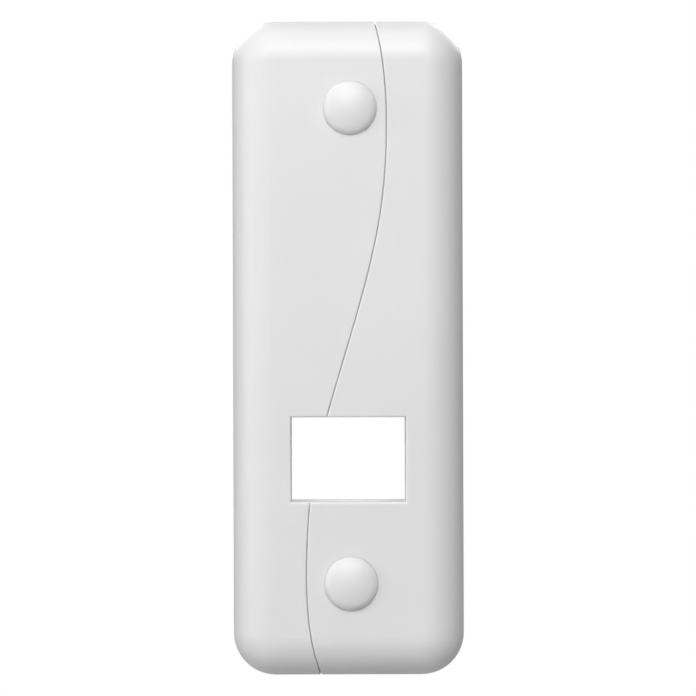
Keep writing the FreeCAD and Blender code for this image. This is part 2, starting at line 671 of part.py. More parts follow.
def tamper_plunger():
    """The tall plunger that the right cover's post holds down, with a collar for its spring."""
    x, z = TAMPER_AT
    stem = post(x, z, TACT_TOP + 1.4, TAMPER_TOP, PLUNGER_RADIUS)
    collar = post(x, z, TAMPER_TOP + 1.0, TAMPER_TOP, 2.7)
    collar = collar.makeFillet(0.3, edges_where(collar, lambda p: abs(p.y - TAMPER_TOP) < 1e-6))
    return fused([stem, collar])


def tamper_spring():
    x, z = TAMPER_AT
    return coil(x, TACT_TOP - 0.25, z, 2.25, 0.2, 0.95, 3.4, AXIS_Y)


def dip_body():
    x, z = DIP_AT
    body = block_at(x, z, 11.0, 6.2, BOARD_FRONT, BOARD_FRONT - 2.6)
    for k in range(4):
        slot_x = x + SLIDER_PITCH * (k - 1.5)
        body = body.cut(block_at(slot_x, z, 1.2, 3.0, BOARD_FRONT - 1.2, BOARD_FRONT - 3))
    return body


def dip_slider(k):
    x, z = DIP_AT
    slider_x = x + SLIDER_PITCH * (k - 1.5)
    return block_at(slider_x, z - 0.75, 1.0, 1.3, BOARD_FRONT - 1.3, BOARD_FRONT - 3.2)


def microcontroller():
    x, z = CHIP_AT
    chip = block_at(x, z, 7.0, 7.0, BOARD_FRONT - 0.1, BOARD_FRONT - 1.1)
    chip = chip.makeChamfer(0.15, edges_where(chip, lambda p: abs(p.y - BOARD_FRONT + 1.1) < 1e-6))
    return chip.cut(post(x - 2.5, z + 2.5, BOARD_FRONT - 1.0, BOARD_FRONT - 2, 0.4))


def crystal_can():
    x, z = CRYSTAL_AT
    can = block_at(x, z, 10.6, 4.2, BOARD_FRONT, BOARD_FRONT - 3.4)
    can = can.makeFillet(2.0, [e for e in can.Edges if abs(e.tangentAt(e.FirstParameter).y) > 0.99])
    can = can.makeFillet(0.5, edges_where(can, lambda p: abs(p.y - BOARD_FRONT + 3.4) < 1e-6))
    flange = block_at(x, z, 11.2, 4.8, BOARD_FRONT, BOARD_FRONT - 0.5)
    flange = flange.makeFillet(2.3, [e for e in flange.Edges if abs(e.tangentAt(e.FirstParameter).y) > 0.99])
    return fused([can, flange])


def capacitor_can():
    x, z = CAPACITOR_AT
    can = post(x, z, BOARD_FRONT - CAPACITOR_FOOT, BOARD_FRONT - CAPACITOR_HEIGHT, 3.0)
    can = can.makeFillet(0.4, edges_where(can, lambda p: abs(p.y - BOARD_FRONT + CAPACITOR_HEIGHT) < 1e-6))
    waist = tube(x, z, BOARD_FRONT - 1.7, BOARD_FRONT - 2.2, 4, 2.75)
    return can.cut(waist)


def capacitor_foot():
    x, z = CAPACITOR_AT
    foot = block_at(x, z, 6.4, 6.4, BOARD_FRONT, BOARD_FRONT - CAPACITOR_FOOT)
    corners = edges_where(foot, lambda p: abs(p.x - x - 3.2) < 1e-6 and abs(abs(p.z - z) - 3.2) < 1e-6)
    return foot.makeChamfer(1.0, corners)


def status_led():
    x, z = LED_AT
    lens = post(x, z, BOARD_FRONT - 0.3, BOARD_FRONT - 1.6, 1.3)
    dome = Part.makeSphere(1.3, V(x, BOARD_FRONT - 1.6, z))
    carrier = block_at(x, z, 3.2, 2.8, BOARD_FRONT, BOARD_FRONT - 0.7)
    return fused([lens, dome, carrier])


def header_body():
    x, z = HEADER_AT
    return block_at(x, z, 2.5, 10.1, BOARD_FRONT, BOARD_FRONT - 2.5)


def header_pins():
    x, z = HEADER_AT
    pins = []
    for k in range(4):
        pin_z = z + SLIDER_PITCH * (k - 1.5)
        pin = block_at(x, pin_z, 0.64, 0.64, BOARD_FRONT - 2.5, BOARD_FRONT - 8.6)
        pins.append(pin.makeChamfer(0.15, edges_where(pin, lambda p: abs(p.y - BOARD_FRONT + 8.6) < 1e-6)))
    return Part.makeCompound(pins)


def header_shunt():
    """The jumper cap over the two lower pins."""
    x, z = HEADER_AT
    mid = z - SLIDER_PITCH
    shunt = block_at(x, mid, 2.3, 4.9, BOARD_FRONT - 2.7, BOARD_FRONT - 8.9)
    shunt = shunt.makeChamfer(0.3, edges_where(shunt, lambda p: abs(p.y - BOARD_FRONT + 8.9) < 1e-6))
    for k in (-0.5, 0.5):
        hole = block_at(x, mid + SLIDER_PITCH * k, 0.8, 0.8, BOARD_FRONT - 2, BOARD_FRONT - 10)
        shunt = shunt.cut(hole)
    return shunt


CHIP_PART_HEIGHT = 0.55
CHIP_PARTS = [  # x, z, whether it lies along X
    (11.4, 34.0, False), (11.4, 31.6, False), (10.4, 38.0, True), (13.2, 14.4, True), (13.2, 12.6, True),
    (12.4, 8.4, False), (9.8, 18.0, True), (9.8, 16.6, True), (0.4, 27.0, True), (6.4, 27.2, True),
    (15.0, -1.0, True), (10.4, 5.8, True), (15.6, -37.6, False), (9.4, -37.2, True), (9.0, -43.4, True),
    (16.4, -43.4, True), (16.4, -41.4, True),
]


def chip_components():
    """Chip resistors and capacitors."""
    parts = []
    for x, z, along_x in CHIP_PARTS:
        width, height = (1.6, 0.8) if along_x else (0.8, 1.6)
        parts.append(block_at(x, z, width, height, BOARD_FRONT, BOARD_FRONT - CHIP_PART_HEIGHT))
    return Part.makeCompound(parts)


# ---------------------------------------------------------------- reed switch


def reed_glass():
    """A closed glass capsule with a hollow and solid seals at its ends."""
    x, z = REED_AT
    outer = rod_z(x, REED_Y, z - REED_HALF, z + REED_HALF, REED_RADIUS)
    ends = edges_where(outer, lambda p: abs(abs(p.z - z) - REED_HALF) < 1e-6)
    outer = outer.makeFillet(0.6, ends)
    inner = rod_z(x, REED_Y, z - REED_HALF + 1.6, z + REED_HALF - 1.6, REED_RADIUS - 0.28)
    leads = rod_z(x, REED_Y, z - 10, z + 10, 0.26)
    return outer.cut(inner).cut(leads)


def bent_lead(side):
    """A round lead from one seal of the capsule, bent down to the board; the lower one carries a blade."""
    x, z = REED_AT
    inner_end = REED_HALF - (1.6 if side > 0 else 2.0)
    start, reach, bend = z + side * inner_end, z + side * 10.0, 0.6
    run = V(x, REED_Y, reach - side * bend)
    turn = V(x, REED_Y + bend * (1 - math.sqrt(0.5)), reach - side * bend * (1 - math.sqrt(0.5)))
    drop = V(x, REED_Y + bend, reach)
    path = Part.Wire([Part.LineSegment(V(x, REED_Y, start), run).toShape(),
                      Part.Arc(run, turn, drop).toShape(),
                      Part.LineSegment(drop, V(x, BOARD_FRONT, reach)).toShape()])
    section = Part.Wire(Part.Circle(V(x, REED_Y, start), AXIS_Z, 0.25).toShape())
    return path.makePipeShell([section], True, False)


def reed_leads():
    """Both round leads, with the fixed blade on the lower one."""
    x, z = REED_AT
    blade_y = REED_Y + BLADE_GAP / 2
    blade = box(x - BLADE_WIDTH / 2, x + BLADE_WIDTH / 2, blade_y, blade_y + BLADE_THICKNESS,
                z - REED_HALF + 1.65, z + BLADE_OVERLAP)
    return Part.makeCompound([bent_lead(-1).fuse(blade), bent_lead(1)])


def reed_moving_blade():
    x, z = REED_AT
    seal = REED_HALF - 1.6
    blade_y = REED_Y - BLADE_GAP / 2
    return box(x - BLADE_WIDTH / 2, x + BLADE_WIDTH / 2, blade_y - BLADE_THICKNESS, blade_y,
               z - BLADE_OVERLAP, z + seal - 0.03)


# ---------------------------------------------------------------- terminal block


def terminal_places():
    x, z = TERMINAL_AT
    return [(x + TERMINAL_PITCH * k, z) for k in (-1, 0, 1)]


def terminal_block():
    x, z = TERMINAL_AT
    body = block_at(x, z, 11.0, 7.6, BOARD_FRONT, TERMINAL_TOP)
    body = body.makeChamfer(1.2, edges_where(body, lambda p: abs(p.y - TERMINAL_TOP) < 1e-6
                                             and abs(abs(p.z - z) - 3.8) < 1e-6))
    for px, pz in terminal_places():
        body = body.cut(post(px, pz, BOARD_FRONT - 4.6, TERMINAL_TOP - 1, 1.45))
        body = body.cut(box(px - 1.3, px + 1.3, BOARD_FRONT - 1.2, BOARD_FRONT - 4.6, pz - 5, pz + 1.6))
    return body


def terminal_clamps():
    """The brass cage in each way of the terminal block."""
    cages = []
    for x, z in terminal_places():
        cage = box(x - 1.25, x + 1.25, BOARD_FRONT - 1.3, BOARD_FRONT - 4.5, z - 1.8, z + 1.5)
        cage = cage.cut(box(x - 0.95, x + 0.95, BOARD_FRONT - 1.7, BOARD_FRONT - 3.7, z - 3, z + 3))
        cage = cage.cut(post(x, z, BOARD_FRONT - 3, BOARD_FRONT - 6, 0.95))
        cages.append(cage)
    return Part.makeCompound(cages)


def terminal_screw(k):
    x, z = terminal_places()[k]
    head_top = TERMINAL_TOP + 1.4
    head = post(x, z, head_top, head_top + 1.5, 1.38)
    shank = post(x, z, head_top + 1.4, BOARD_FRONT - 3.2, 0.9)
    slot = block_at(x, z, 3.0, 0.45, head_top - 1, head_top + 0.7)
    return fused([head, shank]).cut(slot)


# ---------------------------------------------------------------- battery

def battery_can():
    """The cell's steel can, crimped in over the seal at the top."""
    can = rod_z(CELL_X, CELL_Y, CELL_BOTTOM, CELL_CRIMP, CELL_RADIUS - WRAP_THICKNESS)
    can = can.makeFillet(0.6, edges_where(can, lambda p: abs(p.z - CELL_BOTTOM) < 1e-6
                                          or abs(p.z - CELL_CRIMP) < 1e-6))
    can = can.cut(rod_z(CELL_X, CELL_Y, CELL_BOTTOM + CAN_WALL, CELL_CRIMP - CAN_WALL, CAN_INSIDE))
    return can.cut(rod_z(CELL_X, CELL_Y, CELL_CRIMP - 1, CELL_CRIMP + 1, 6.2))


def battery_winding():
    """The rolled electrodes inside the can."""
    return rod_z(CELL_X, CELL_Y, CELL_BOTTOM + CAN_WALL, CELL_CRIMP - CAN_WALL - 0.8, CAN_INSIDE - 0.02)


def battery_wrap():
    """The shrink sleeve round the can."""
    outer = rod_z(CELL_X, CELL_Y, CELL_BOTTOM + 0.7, CELL_TOP - 1.8, CELL_RADIUS)
    return outer.cut(rod_z(CELL_X, CELL_Y, -20, 60, CELL_RADIUS - WRAP_THICKNESS))


def battery_seal():
    """The insulating disc held under the crimp, with a hole for the cap."""
    disc = rod_z(CELL_X, CELL_Y, CELL_CRIMP - CAN_WALL - 0.7, CELL_CRIMP - CAN_WALL, CAN_INSIDE - 0.02)
    ring = rod_z(CELL_X, CELL_Y, CELL_CRIMP - CAN_WALL - 0.7, CELL_CRIMP + 0.2, 6.15)
    return fused([disc, ring]).cut(rod_z(CELL_X, CELL_Y, -20, 60, 3.3))


def battery_cap():
    """The raised positive contact."""
    cap = rod_z(CELL_X, CELL_Y, CELL_CRIMP - CAN_WALL - 0.7, CELL_TOP, 3.3)
    return cap.makeFillet(0.4, edges_where(cap, lambda p: abs(p.z - CELL_TOP) < 1e-6))


def contact_plate(z):
    """A plate on the cradle's end wall, with a foot that runs to the board."""
    plate = box(CELL_X - 4.5, CELL_X + 4.5, -5.0, -15.8, z, z + CONTACT_THICKNESS)
    foot = box(CELL_X + 4.0, -2.0, -5.0, -6.2, z, z + CONTACT_THICKNESS)
    return fused([plate, foot])


def positive_contact():
    """The plate that meets the cell's cap, with a pressed dimple."""
    dimple = rod_z(CELL_X, CELL_Y, CELL_TOP + 0.02, POSITIVE_LEAF_Z + 0.1, 1.6)
    return fused([contact_plate(POSITIVE_LEAF_Z), dimple])


def negative_contact():
    return contact_plate(NEGATIVE_PLATE_Z)


def battery_spring():
    return coil(CELL_X, CELL_Y, -2.85, 3.2, 0.28, 0.95, 3.5, AXIS_Z)


# ---------------------------------------------------------------- write every node

def main():
    os.makedirs("parts", exist_ok=True)
    nodes = {
        "rear_base": rear_base(),
        "left_cover": left_cover(),
        "right_cover": right_cover(),
        "upper_screw_cap": screw_cap(UPPER_Z),
        "lower_screw_cap": screw_cap(LOWER_Z),
        "upper_cover_screw": cover_screw(UPPER_Z),
        "lower_cover_screw": cover_screw(LOWER_Z),
        "upper_retaining_washer": retaining_washer(UPPER_Z),
        "lower_retaining_washer": retaining_washer(LOWER_Z),
        "threaded_inserts": Part.makeCompound([threaded_insert(z) for z in (UPPER_Z, LOWER_Z)]),
        "adhesive_pads": adhesive_pads(),
        "cable_clamp": cable_clamp(),
        "cable_clamp_screws": clamp_screws(),
        "circuit_board": circuit_board(),
        "board_screws": board_screws(),
        "radio_shield_can": radio_shield_can(),
        "antenna_coil": antenna_coil(),
        "tamper_switch_body": tact_body(TAMPER_AT, PLUNGER_RADIUS + 0.1),
        "tamper_plunger": tamper_plunger(),
        "tamper_spring": tamper_spring(),
        "test_button_body": tact_body(BUTTON_AT, PLUNGER_RADIUS + 0.1),
        "test_button_plunger": test_button_plunger(),
        "dip_switch_body": dip_body(),
        "microcontroller": microcontroller(),
        "crystal_can": crystal_can(),
        "capacitor_can": capacitor_can(),
        "capacitor_foot": capacitor_foot(),
        "status_led": status_led(),
        "header_body": header_body(),
        "header_pins": header_pins(),
        "header_shunt": header_shunt(),
        "chip_components": chip_components(),
        "reed_glass": reed_glass(),
        "reed_leads": reed_leads(),
        "reed_moving_blade": reed_moving_blade(),
        "terminal_block": terminal_block(),
        "terminal_clamps": terminal_clamps(),
        "battery_can": battery_can(),
        "battery_winding": battery_winding(),
        "battery_wrap": battery_wrap(),
        "battery_seal": battery_seal(),
        "battery_cap": battery_cap(),
        "positive_contact": positive_contact(),
        "negative_contact": negative_contact(),
        "battery_spring": battery_spring(),
    }
    for k in range(4):
        nodes["dip_slider_%d" % (k + 1)] = dip_slider(k)
    for k in range(3):
        nodes["terminal_screw_%d" % (k + 1)] = terminal_screw(k)
    for name, shape in nodes.items():
        save(name, shape)


main()
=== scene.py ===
import math

import bmesh
import bpy
from mathutils import Matrix, Vector


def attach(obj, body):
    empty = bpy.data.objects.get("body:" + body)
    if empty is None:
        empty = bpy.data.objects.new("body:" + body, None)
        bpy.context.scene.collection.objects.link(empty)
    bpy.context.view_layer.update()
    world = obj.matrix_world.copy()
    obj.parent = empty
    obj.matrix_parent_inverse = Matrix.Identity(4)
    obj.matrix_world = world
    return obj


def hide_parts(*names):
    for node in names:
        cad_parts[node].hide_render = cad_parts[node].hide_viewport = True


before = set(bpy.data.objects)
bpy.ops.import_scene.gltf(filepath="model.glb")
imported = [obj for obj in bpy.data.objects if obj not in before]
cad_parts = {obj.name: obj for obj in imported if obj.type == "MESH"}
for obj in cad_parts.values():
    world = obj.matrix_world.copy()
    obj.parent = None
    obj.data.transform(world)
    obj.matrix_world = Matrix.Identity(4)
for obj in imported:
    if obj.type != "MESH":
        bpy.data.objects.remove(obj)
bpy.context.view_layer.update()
MM = 0.001


# ------------------------------------------------------------ front covers
# The two front mouldings: white ABS with a fine satin texture, injection moulded in halves that meet along
# an S-shaped seam. Each hooks under the base at one end and is held at the other by a screw under a cap.

COVER_WHITE = (0.80, 0.80, 0.80, 1.0)
COVER_GRAIN = 0.00022
GRAIN_DEPTH = 0.00001
CLOUD_SCALE = 38.0
LIGHT_IN_PLASTIC = 0.9
SKIN_DEPTH = 0.0006


def new_material(name):
    """An empty material with a Principled shader; returns the material, its nodes, links and shader."""
    material = bpy.data.materials.new(name)
    material.use_nodes = True
    tree = material.node_tree
    return material, tree.nodes, tree.links, tree.nodes["Principled BSDF"]


def object_noise(nodes, links, scale, detail=2.0, roughness=0.5, stretch=(1.0, 1.0, 1.0)):
    """Noise over the object's own coordinates, with scale in turns per metre."""
    place = nodes.new("ShaderNodeTexCoord")
    mapping = nodes.new("ShaderNodeMapping")
    mapping.inputs["Scale"].default_value = stretch
    noise = nodes.new("ShaderNodeTexNoise")
    noise.inputs["Scale"].default_value = scale
    noise.inputs["Detail"].default_value = detail
    noise.inputs["Roughness"].default_value = roughness
    links.new(place.outputs["Object"], mapping.inputs["Vector"])
    links.new(mapping.outputs["Vector"], noise.inputs["Vector"])
    return noise


def spread(nodes, links, source, low, high, from_low=0.3, from_high=0.7):
    """Maps a value onto a narrow range."""
    remap = nodes.new("ShaderNodeMapRange")
    remap.inputs["From Min"].default_value = from_low
    remap.inputs["From Max"].default_value = from_high
    remap.inputs["To Min"].default_value = low
    remap.inputs["To Max"].default_value = high
    links.new(source, remap.inputs["Value"])
    return remap.outputs["Result"]


def two_tone(nodes, links, factor, first, second):
    """Mixes two colours by a factor."""
    mix = nodes.new("ShaderNodeMix")
    mix.data_type = "RGBA"
    mix.inputs["A"].default_value = first
    mix.inputs["B"].default_value = second
    links.new(factor, mix.inputs["Factor"])
    return mix.outputs["Result"]


def bumped(nodes, links, shader, height, strength, distance):
    """Raises the surface by a height map."""
    bump = nodes.new("ShaderNodeBump")
    bump.inputs["Strength"].default_value = strength
    bump.inputs["Distance"].default_value = distance
    links.new(height, bump.inputs["Height"])
    links.new(bump.outputs["Normal"], shader.inputs["Normal"])


def past(nodes, links, axis, limit, operation):
    """One on the far side of a plane across the object's own axis, and nothing on the near side."""
    place = nodes.new("ShaderNodeTexCoord")
    parts = nodes.new("ShaderNodeSeparateXYZ")
    links.new(place.outputs["Object"], parts.inputs[0])
    side = nodes.new("ShaderNodeMath")
    side.operation = operation
    side.inputs[1].default_value = limit
    links.new(parts.outputs[axis], side.inputs[0])
    return side.outputs[0]


def shade(colour, factor):
    return tuple(min(1.0, c * factor) for c in colour[:3]) + (1.0,)


def moulded_plastic(name, colour, roughness=0.42, cloud=0.012, under_skin=0.0):
    """Moulded plastic: spark-eroded grain, a slight cloudiness and, in pale ones, light under the skin."""
    material, nodes, links, shader = new_material(name)
    clouds = object_noise(nodes, links, CLOUD_SCALE, 3.0)
    fine = object_noise(nodes, links, 1.0 / COVER_GRAIN, 2.0, 0.6)
    factor = spread(nodes, links, clouds.outputs["Fac"], 0.0, 1.0)
    tone = two_tone(nodes, links, factor, shade(colour, 1 - cloud), shade(colour, 1 + cloud))
    links.new(tone, shader.inputs["Base Color"])
    rough = spread(nodes, links, fine.outputs["Fac"], roughness - 0.05, roughness + 0.05)
    links.new(rough, shader.inputs["Roughness"])
    shader.inputs["Subsurface Weight"].default_value = under_skin
    shader.inputs["Subsurface Radius"].default_value = (1.0, 1.0, 1.0)
    shader.inputs["Subsurface Scale"].default_value = SKIN_DEPTH
    bumped(nodes, links, shader, fine.outputs["Fac"], 0.35, GRAIN_DEPTH)
    return material


def clothe(node, material):
    """Gives a CAD node its material on every face."""
    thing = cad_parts[node]
    thing.data.materials.clear()
    thing.data.materials.append(material)
    return thing


cover_plastic = moulded_plastic("cover_plastic", COVER_WHITE, under_skin=LIGHT_IN_PLASTIC)
for node in ("left_cover", "right_cover"):
    clothe(node, cover_plastic)


# ------------------------------------------------------------ rear base
# One moulding in the same white plastic: floor, rim, window sleeve, screw bosses and battery cradle.

base_plastic = moulded_plastic("base_plastic", shade(COVER_WHITE, 0.98), 0.46, under_skin=LIGHT_IN_PLASTIC)
clothe("rear_base", base_plastic)


# ------------------------------------------------------------ cover screws
# Two M3 pan-head machine screws in zinc-plated steel, cross recessed. A nylon washer pressed on behind each
# cover's shelf keeps its screw from falling out, and each one runs in a brass insert in the base.

ZINC = (0.62, 0.63, 0.65, 1.0)
FIXINGS = [("upper", 47.5), ("lower", -46.6)]
FIXING_X = 0.5
SCREW_TIP_Y = -3.0
SCREW_LENGTH = 11.9
HEAD_RADIUS, HEAD_HEIGHT = 2.75, 1.9
THREAD_CORE, THREAD_OUTSIDE, THREAD_PITCH = 1.24, 1.49, 0.5
STEPS_ROUND = 24


def metal(name, colour, roughness=0.32, stretch=(1.0, 1.0, 1.0), scale=4000.0, stain=0.10, depth=0.000002):
    """Plain or plated metal: fine drawing lines, and slow patches where the finish is duller."""
    material, nodes, links, shader = new_material(name)
    shader.inputs["Metallic"].default_value = 1.0
    patches = object_noise(nodes, links, 210.0, 4.0, 0.6)
    lines = object_noise(nodes, links, scale, 3.0, 0.6, stretch)
    factor = spread(nodes, links, patches.outputs["Fac"], 0.0, 1.0)
    tone = two_tone(nodes, links, factor, shade(colour, 1 - stain), shade(colour, 1 + stain * 0.5))
    links.new(tone, shader.inputs["Base Color"])
    rough = spread(nodes, links, lines.outputs["Fac"], roughness - 0.08, roughness + 0.10)
    links.new(rough, shader.inputs["Roughness"])
    bumped(nodes, links, shader, lines.outputs["Fac"], 0.12, depth)
    return material


def path_tree(name, flat):
    """Geometry nodes that sweep a round or a flat section along the edges of a mesh."""
    tree = bpy.data.node_groups.new(name, "GeometryNodeTree")
    face = tree.interface
    face.new_socket("Path", in_out="INPUT", socket_type="NodeSocketGeometry")
    for label, start in (("Width", 0.001), ("Height", 0.001)):
        face.new_socket(label, in_out="INPUT", socket_type="NodeSocketFloat").default_value = start
    face.new_socket("Sides", in_out="INPUT", socket_type="NodeSocketInt").default_value = 12
    face.new_socket("Material", in_out="INPUT", socket_type="NodeSocketMaterial")
    face.new_socket("Mesh", in_out="OUTPUT", socket_type="NodeSocketGeometry")
    nodes, links = tree.nodes, tree.links
    given = nodes.new("NodeGroupInput")
    result = nodes.new("NodeGroupOutput")
    curve = nodes.new("GeometryNodeMeshToCurve")
    sweep = nodes.new("GeometryNodeCurveToMesh")
    sweep.inputs["Fill Caps"].default_value = True
    finish = nodes.new("GeometryNodeSetMaterial")
    real = nodes.new("GeometryNodeRealizeInstances")
    links.new(given.outputs["Path"], curve.inputs["Mesh"])
    if flat:
        upright = nodes.new("GeometryNodeSetCurveNormal")
        upright.mode = "Z_UP"
        section = nodes.new("GeometryNodeCurvePrimitiveQuadrilateral")
        links.new(given.outputs["Height"], section.inputs["Height"])
        links.new(given.outputs["Width"], section.inputs["Width"])
        links.new(curve.outputs["Curve"], upright.inputs["Curve"])
        links.new(upright.outputs["Curve"], sweep.inputs["Curve"])
    else:
        section = nodes.new("GeometryNodeCurvePrimitiveCircle")
        half = nodes.new("ShaderNodeMath")
        half.operation = "MULTIPLY"
        half.inputs[1].default_value = 0.5
        links.new(given.outputs["Width"], half.inputs[0])
        links.new(half.outputs[0], section.inputs["Radius"])
        links.new(given.outputs["Sides"], section.inputs["Resolution"])
        links.new(curve.outputs["Curve"], sweep.inputs["Curve"])
    links.new(section.outputs["Curve"], sweep.inputs["Profile Curve"])
    links.new(sweep.outputs["Mesh"], real.inputs["Geometry"])
    links.new(real.outputs["Geometry"], finish.inputs["Geometry"])
    links.new(given.outputs["Material"], finish.inputs["Material"])
    links.new(finish.outputs["Geometry"], result.inputs["Mesh"])
    return tree


def copies_tree(name):
    """Geometry nodes that place one small part on every point, with its own turn and size."""
    tree = bpy.data.node_groups.new(name, "GeometryNodeTree")
    face = tree.interface
    face.new_socket("Points", in_out="INPUT", socket_type="NodeSocketGeometry")
    face.new_socket("Part", in_out="INPUT", socket_type="NodeSocketObject")
    face.new_socket("Material", in_out="INPUT", socket_type="NodeSocketMaterial")
    face.new_socket("Mesh", in_out="OUTPUT", socket_type="NodeSocketGeometry")
    nodes, links = tree.nodes, tree.links
    given = nodes.new("NodeGroupInput")
    result = nodes.new("NodeGroupOutput")
    part = nodes.new("GeometryNodeObjectInfo")
    place = nodes.new("GeometryNodeInstanceOnPoints")
    turn = nodes.new("GeometryNodeInputNamedAttribute")
    size = nodes.new("GeometryNodeInputNamedAttribute")
    real = nodes.new("GeometryNodeRealizeInstances")
    finish = nodes.new("GeometryNodeSetMaterial")
    for node, label in ((turn, "turn"), (size, "size")):
        node.data_type = "FLOAT_VECTOR"
        node.inputs["Name"].default_value = label
    links.new(given.outputs["Points"], place.inputs["Points"])
    links.new(given.outputs["Part"], part.inputs["Object"])
    links.new(part.outputs["Geometry"], place.inputs["Instance"])
    links.new(turn.outputs["Attribute"], place.inputs["Rotation"])
    links.new(size.outputs["Attribute"], place.inputs["Scale"])
    links.new(place.outputs["Instances"], real.inputs["Geometry"])
    links.new(real.outputs["Geometry"], finish.inputs["Geometry"])
    links.new(given.outputs["Material"], finish.inputs["Material"])
    links.new(finish.outputs["Geometry"], result.inputs["Mesh"])
    return tree


FLAT_PATH = path_tree("strip_along_path", True)
ROUND_PATH = path_tree("wire_along_path", False)
COPIES = copies_tree("part_on_each_point")


def grown(name, mesh, tree, **values):
    """Runs a tree on a mesh and returns what comes out as a plain mesh."""
    source = bpy.data.objects.new(name + "_source", mesh)
    bpy.context.collection.objects.link(source)
    modifier = source.modifiers.new("grow", "NODES")
    modifier.node_group = tree
    for item in tree.interface.items_tree:
        if item.in_out == "INPUT" and item.name in values:
            modifier[item.identifier] = values[item.name]
    bpy.context.view_layer.update()
    result = bpy.data.meshes.new_from_object(source.evaluated_get(bpy.context.evaluated_depsgraph_get()))
    bpy.data.objects.remove(source)
    return result


def piece(name, mesh, body, nodes=(), smooth=40.0):
    """Closes, turns outwards and smooths a mesh, and makes it a piece that rides on a body."""
    work = bmesh.new()
    work.from_mesh(mesh)
    bmesh.ops.remove_doubles(work, verts=work.verts, dist=1e-7)
    bmesh.ops.recalc_face_normals(work, faces=work.faces)
    work.to_mesh(mesh)
    work.free()
    mesh.shade_smooth()
    mesh.set_sharp_from_angle(angle=math.radians(smooth))
    mesh.name = name
    thing = bpy.data.objects.new(name, mesh)
    bpy.context.collection.objects.link(thing)
    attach(thing, body)
    if nodes:
        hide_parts(*nodes)
    return thing


def path_mesh(name, paths):
    """A mesh of bare edges through each list of points, in millimetres."""
    verts, edges = [], []
    for path in paths:
        start = len(verts)
        verts += [tuple(c * MM for c in point) for point in path]
        edges += [(start + i, start + i + 1) for i in range(len(path) - 1)]
    mesh = bpy.data.meshes.new(name)
    mesh.from_pydata(verts, edges, [])
    return mesh


def helix(radius, pitch, turns, bottom=0.0, start_turn=0.0):
    """A right-handed helix about Z, in millimetres."""
    points = []
    for i in range(int(turns * STEPS_ROUND) + 1):
        angle = 2 * math.pi * (i / STEPS_ROUND + start_turn)
        points.append((radius * math.cos(angle), radius * math.sin(angle), bottom + pitch * i / STEPS_ROUND))
    return points


def turned_mesh(name, profile, sides=36):
    """A solid turned about Z from (radius, height) pairs in millimetres that start and end on the axis."""
    verts = [(0, 0, profile[0][1] * MM), (0, 0, profile[-1][1] * MM)]
    rings = []
    for radius, height in profile[1:-1]:
        rings.append(range(len(verts), len(verts) + sides))
        for i in range(sides):
            angle = 2 * math.pi * i / sides
            verts.append((radius * MM * math.cos(angle), radius * MM * math.sin(angle), height * MM))
    faces = []
    for i in range(sides):
        j = (i + 1) % sides
        faces.append((0, rings[0][j], rings[0][i]))
        faces.append((1, rings[-1][i], rings[-1][j]))
        faces += [(a[i], a[j], b[j], b[i]) for a, b in zip(rings, rings[1:])]
    mesh = bpy.data.meshes.new(name)
    mesh.from_pydata(verts, [], faces)
    return mesh


def cut_from(name, mesh, cutter):
    """One mesh with another cut out of it."""
    things = [bpy.data.objects.new(name, m) for m in (mesh, cutter)]
    for thing in things:
        bpy.context.collection.objects.link(thing)
    modifier = things[0].modifiers.new("cut", "BOOLEAN")
    modifier.operation = "DIFFERENCE"
    modifier.solver = "EXACT"
    modifier.object = things[1]
    bpy.context.view_layer.update()
    result = bpy.data.meshes.new_from_object(things[0].evaluated_get(bpy.context.evaluated_depsgraph_get()))
    for thing in things:
        bpy.data.objects.remove(thing)
    return result


def wedge_mesh(name, half_x, half_y, bottom, top, taper):
    """A block that narrows towards its bottom, in millimetres."""
    verts = []
    for z, k in ((bottom, taper), (top, 1.0)):
        verts += [(sx * half_x * k * MM, sy * half_y * k * MM, z * MM)
                  for sx, sy in ((-1, -1), (1, -1), (1, 1), (-1, 1))]
    faces = [(3, 2, 1, 0), (4, 5, 6, 7)] + [(i, (i + 1) % 4, 4 + (i + 1) % 4, 4 + i) for i in range(4)]
    mesh = bpy.data.meshes.new(name)
    mesh.from_pydata(verts, [], faces)
    return mesh


def facing_front(x, y, z):
    """Turns a mesh built upright along Z so that it points out of the front, and puts it in its place."""
    return Matrix.Translation((x * MM, y * MM, z * MM)) @ Matrix.Rotation(math.radians(90), 4, "X")


def joined(name, meshes):
    """One mesh out of several, keeping their materials."""
    work = bmesh.new()
    result = bpy.data.meshes.new(name)
    for mesh in meshes:
        work.from_mesh(mesh)
    work.to_mesh(result)
    work.free()
    for material in meshes[0].materials:
        result.materials.append(material)
    return result


zinc_steel = metal("zinc_steel", ZINC, 0.34, scale=3750.0)
brass = metal("brass", (0.71, 0.52, 0.22, 1.0), 0.30, stain=0.16)
nylon = moulded_plastic("nylon_washer", (0.72, 0.70, 0.63, 1.0), roughness=0.36)

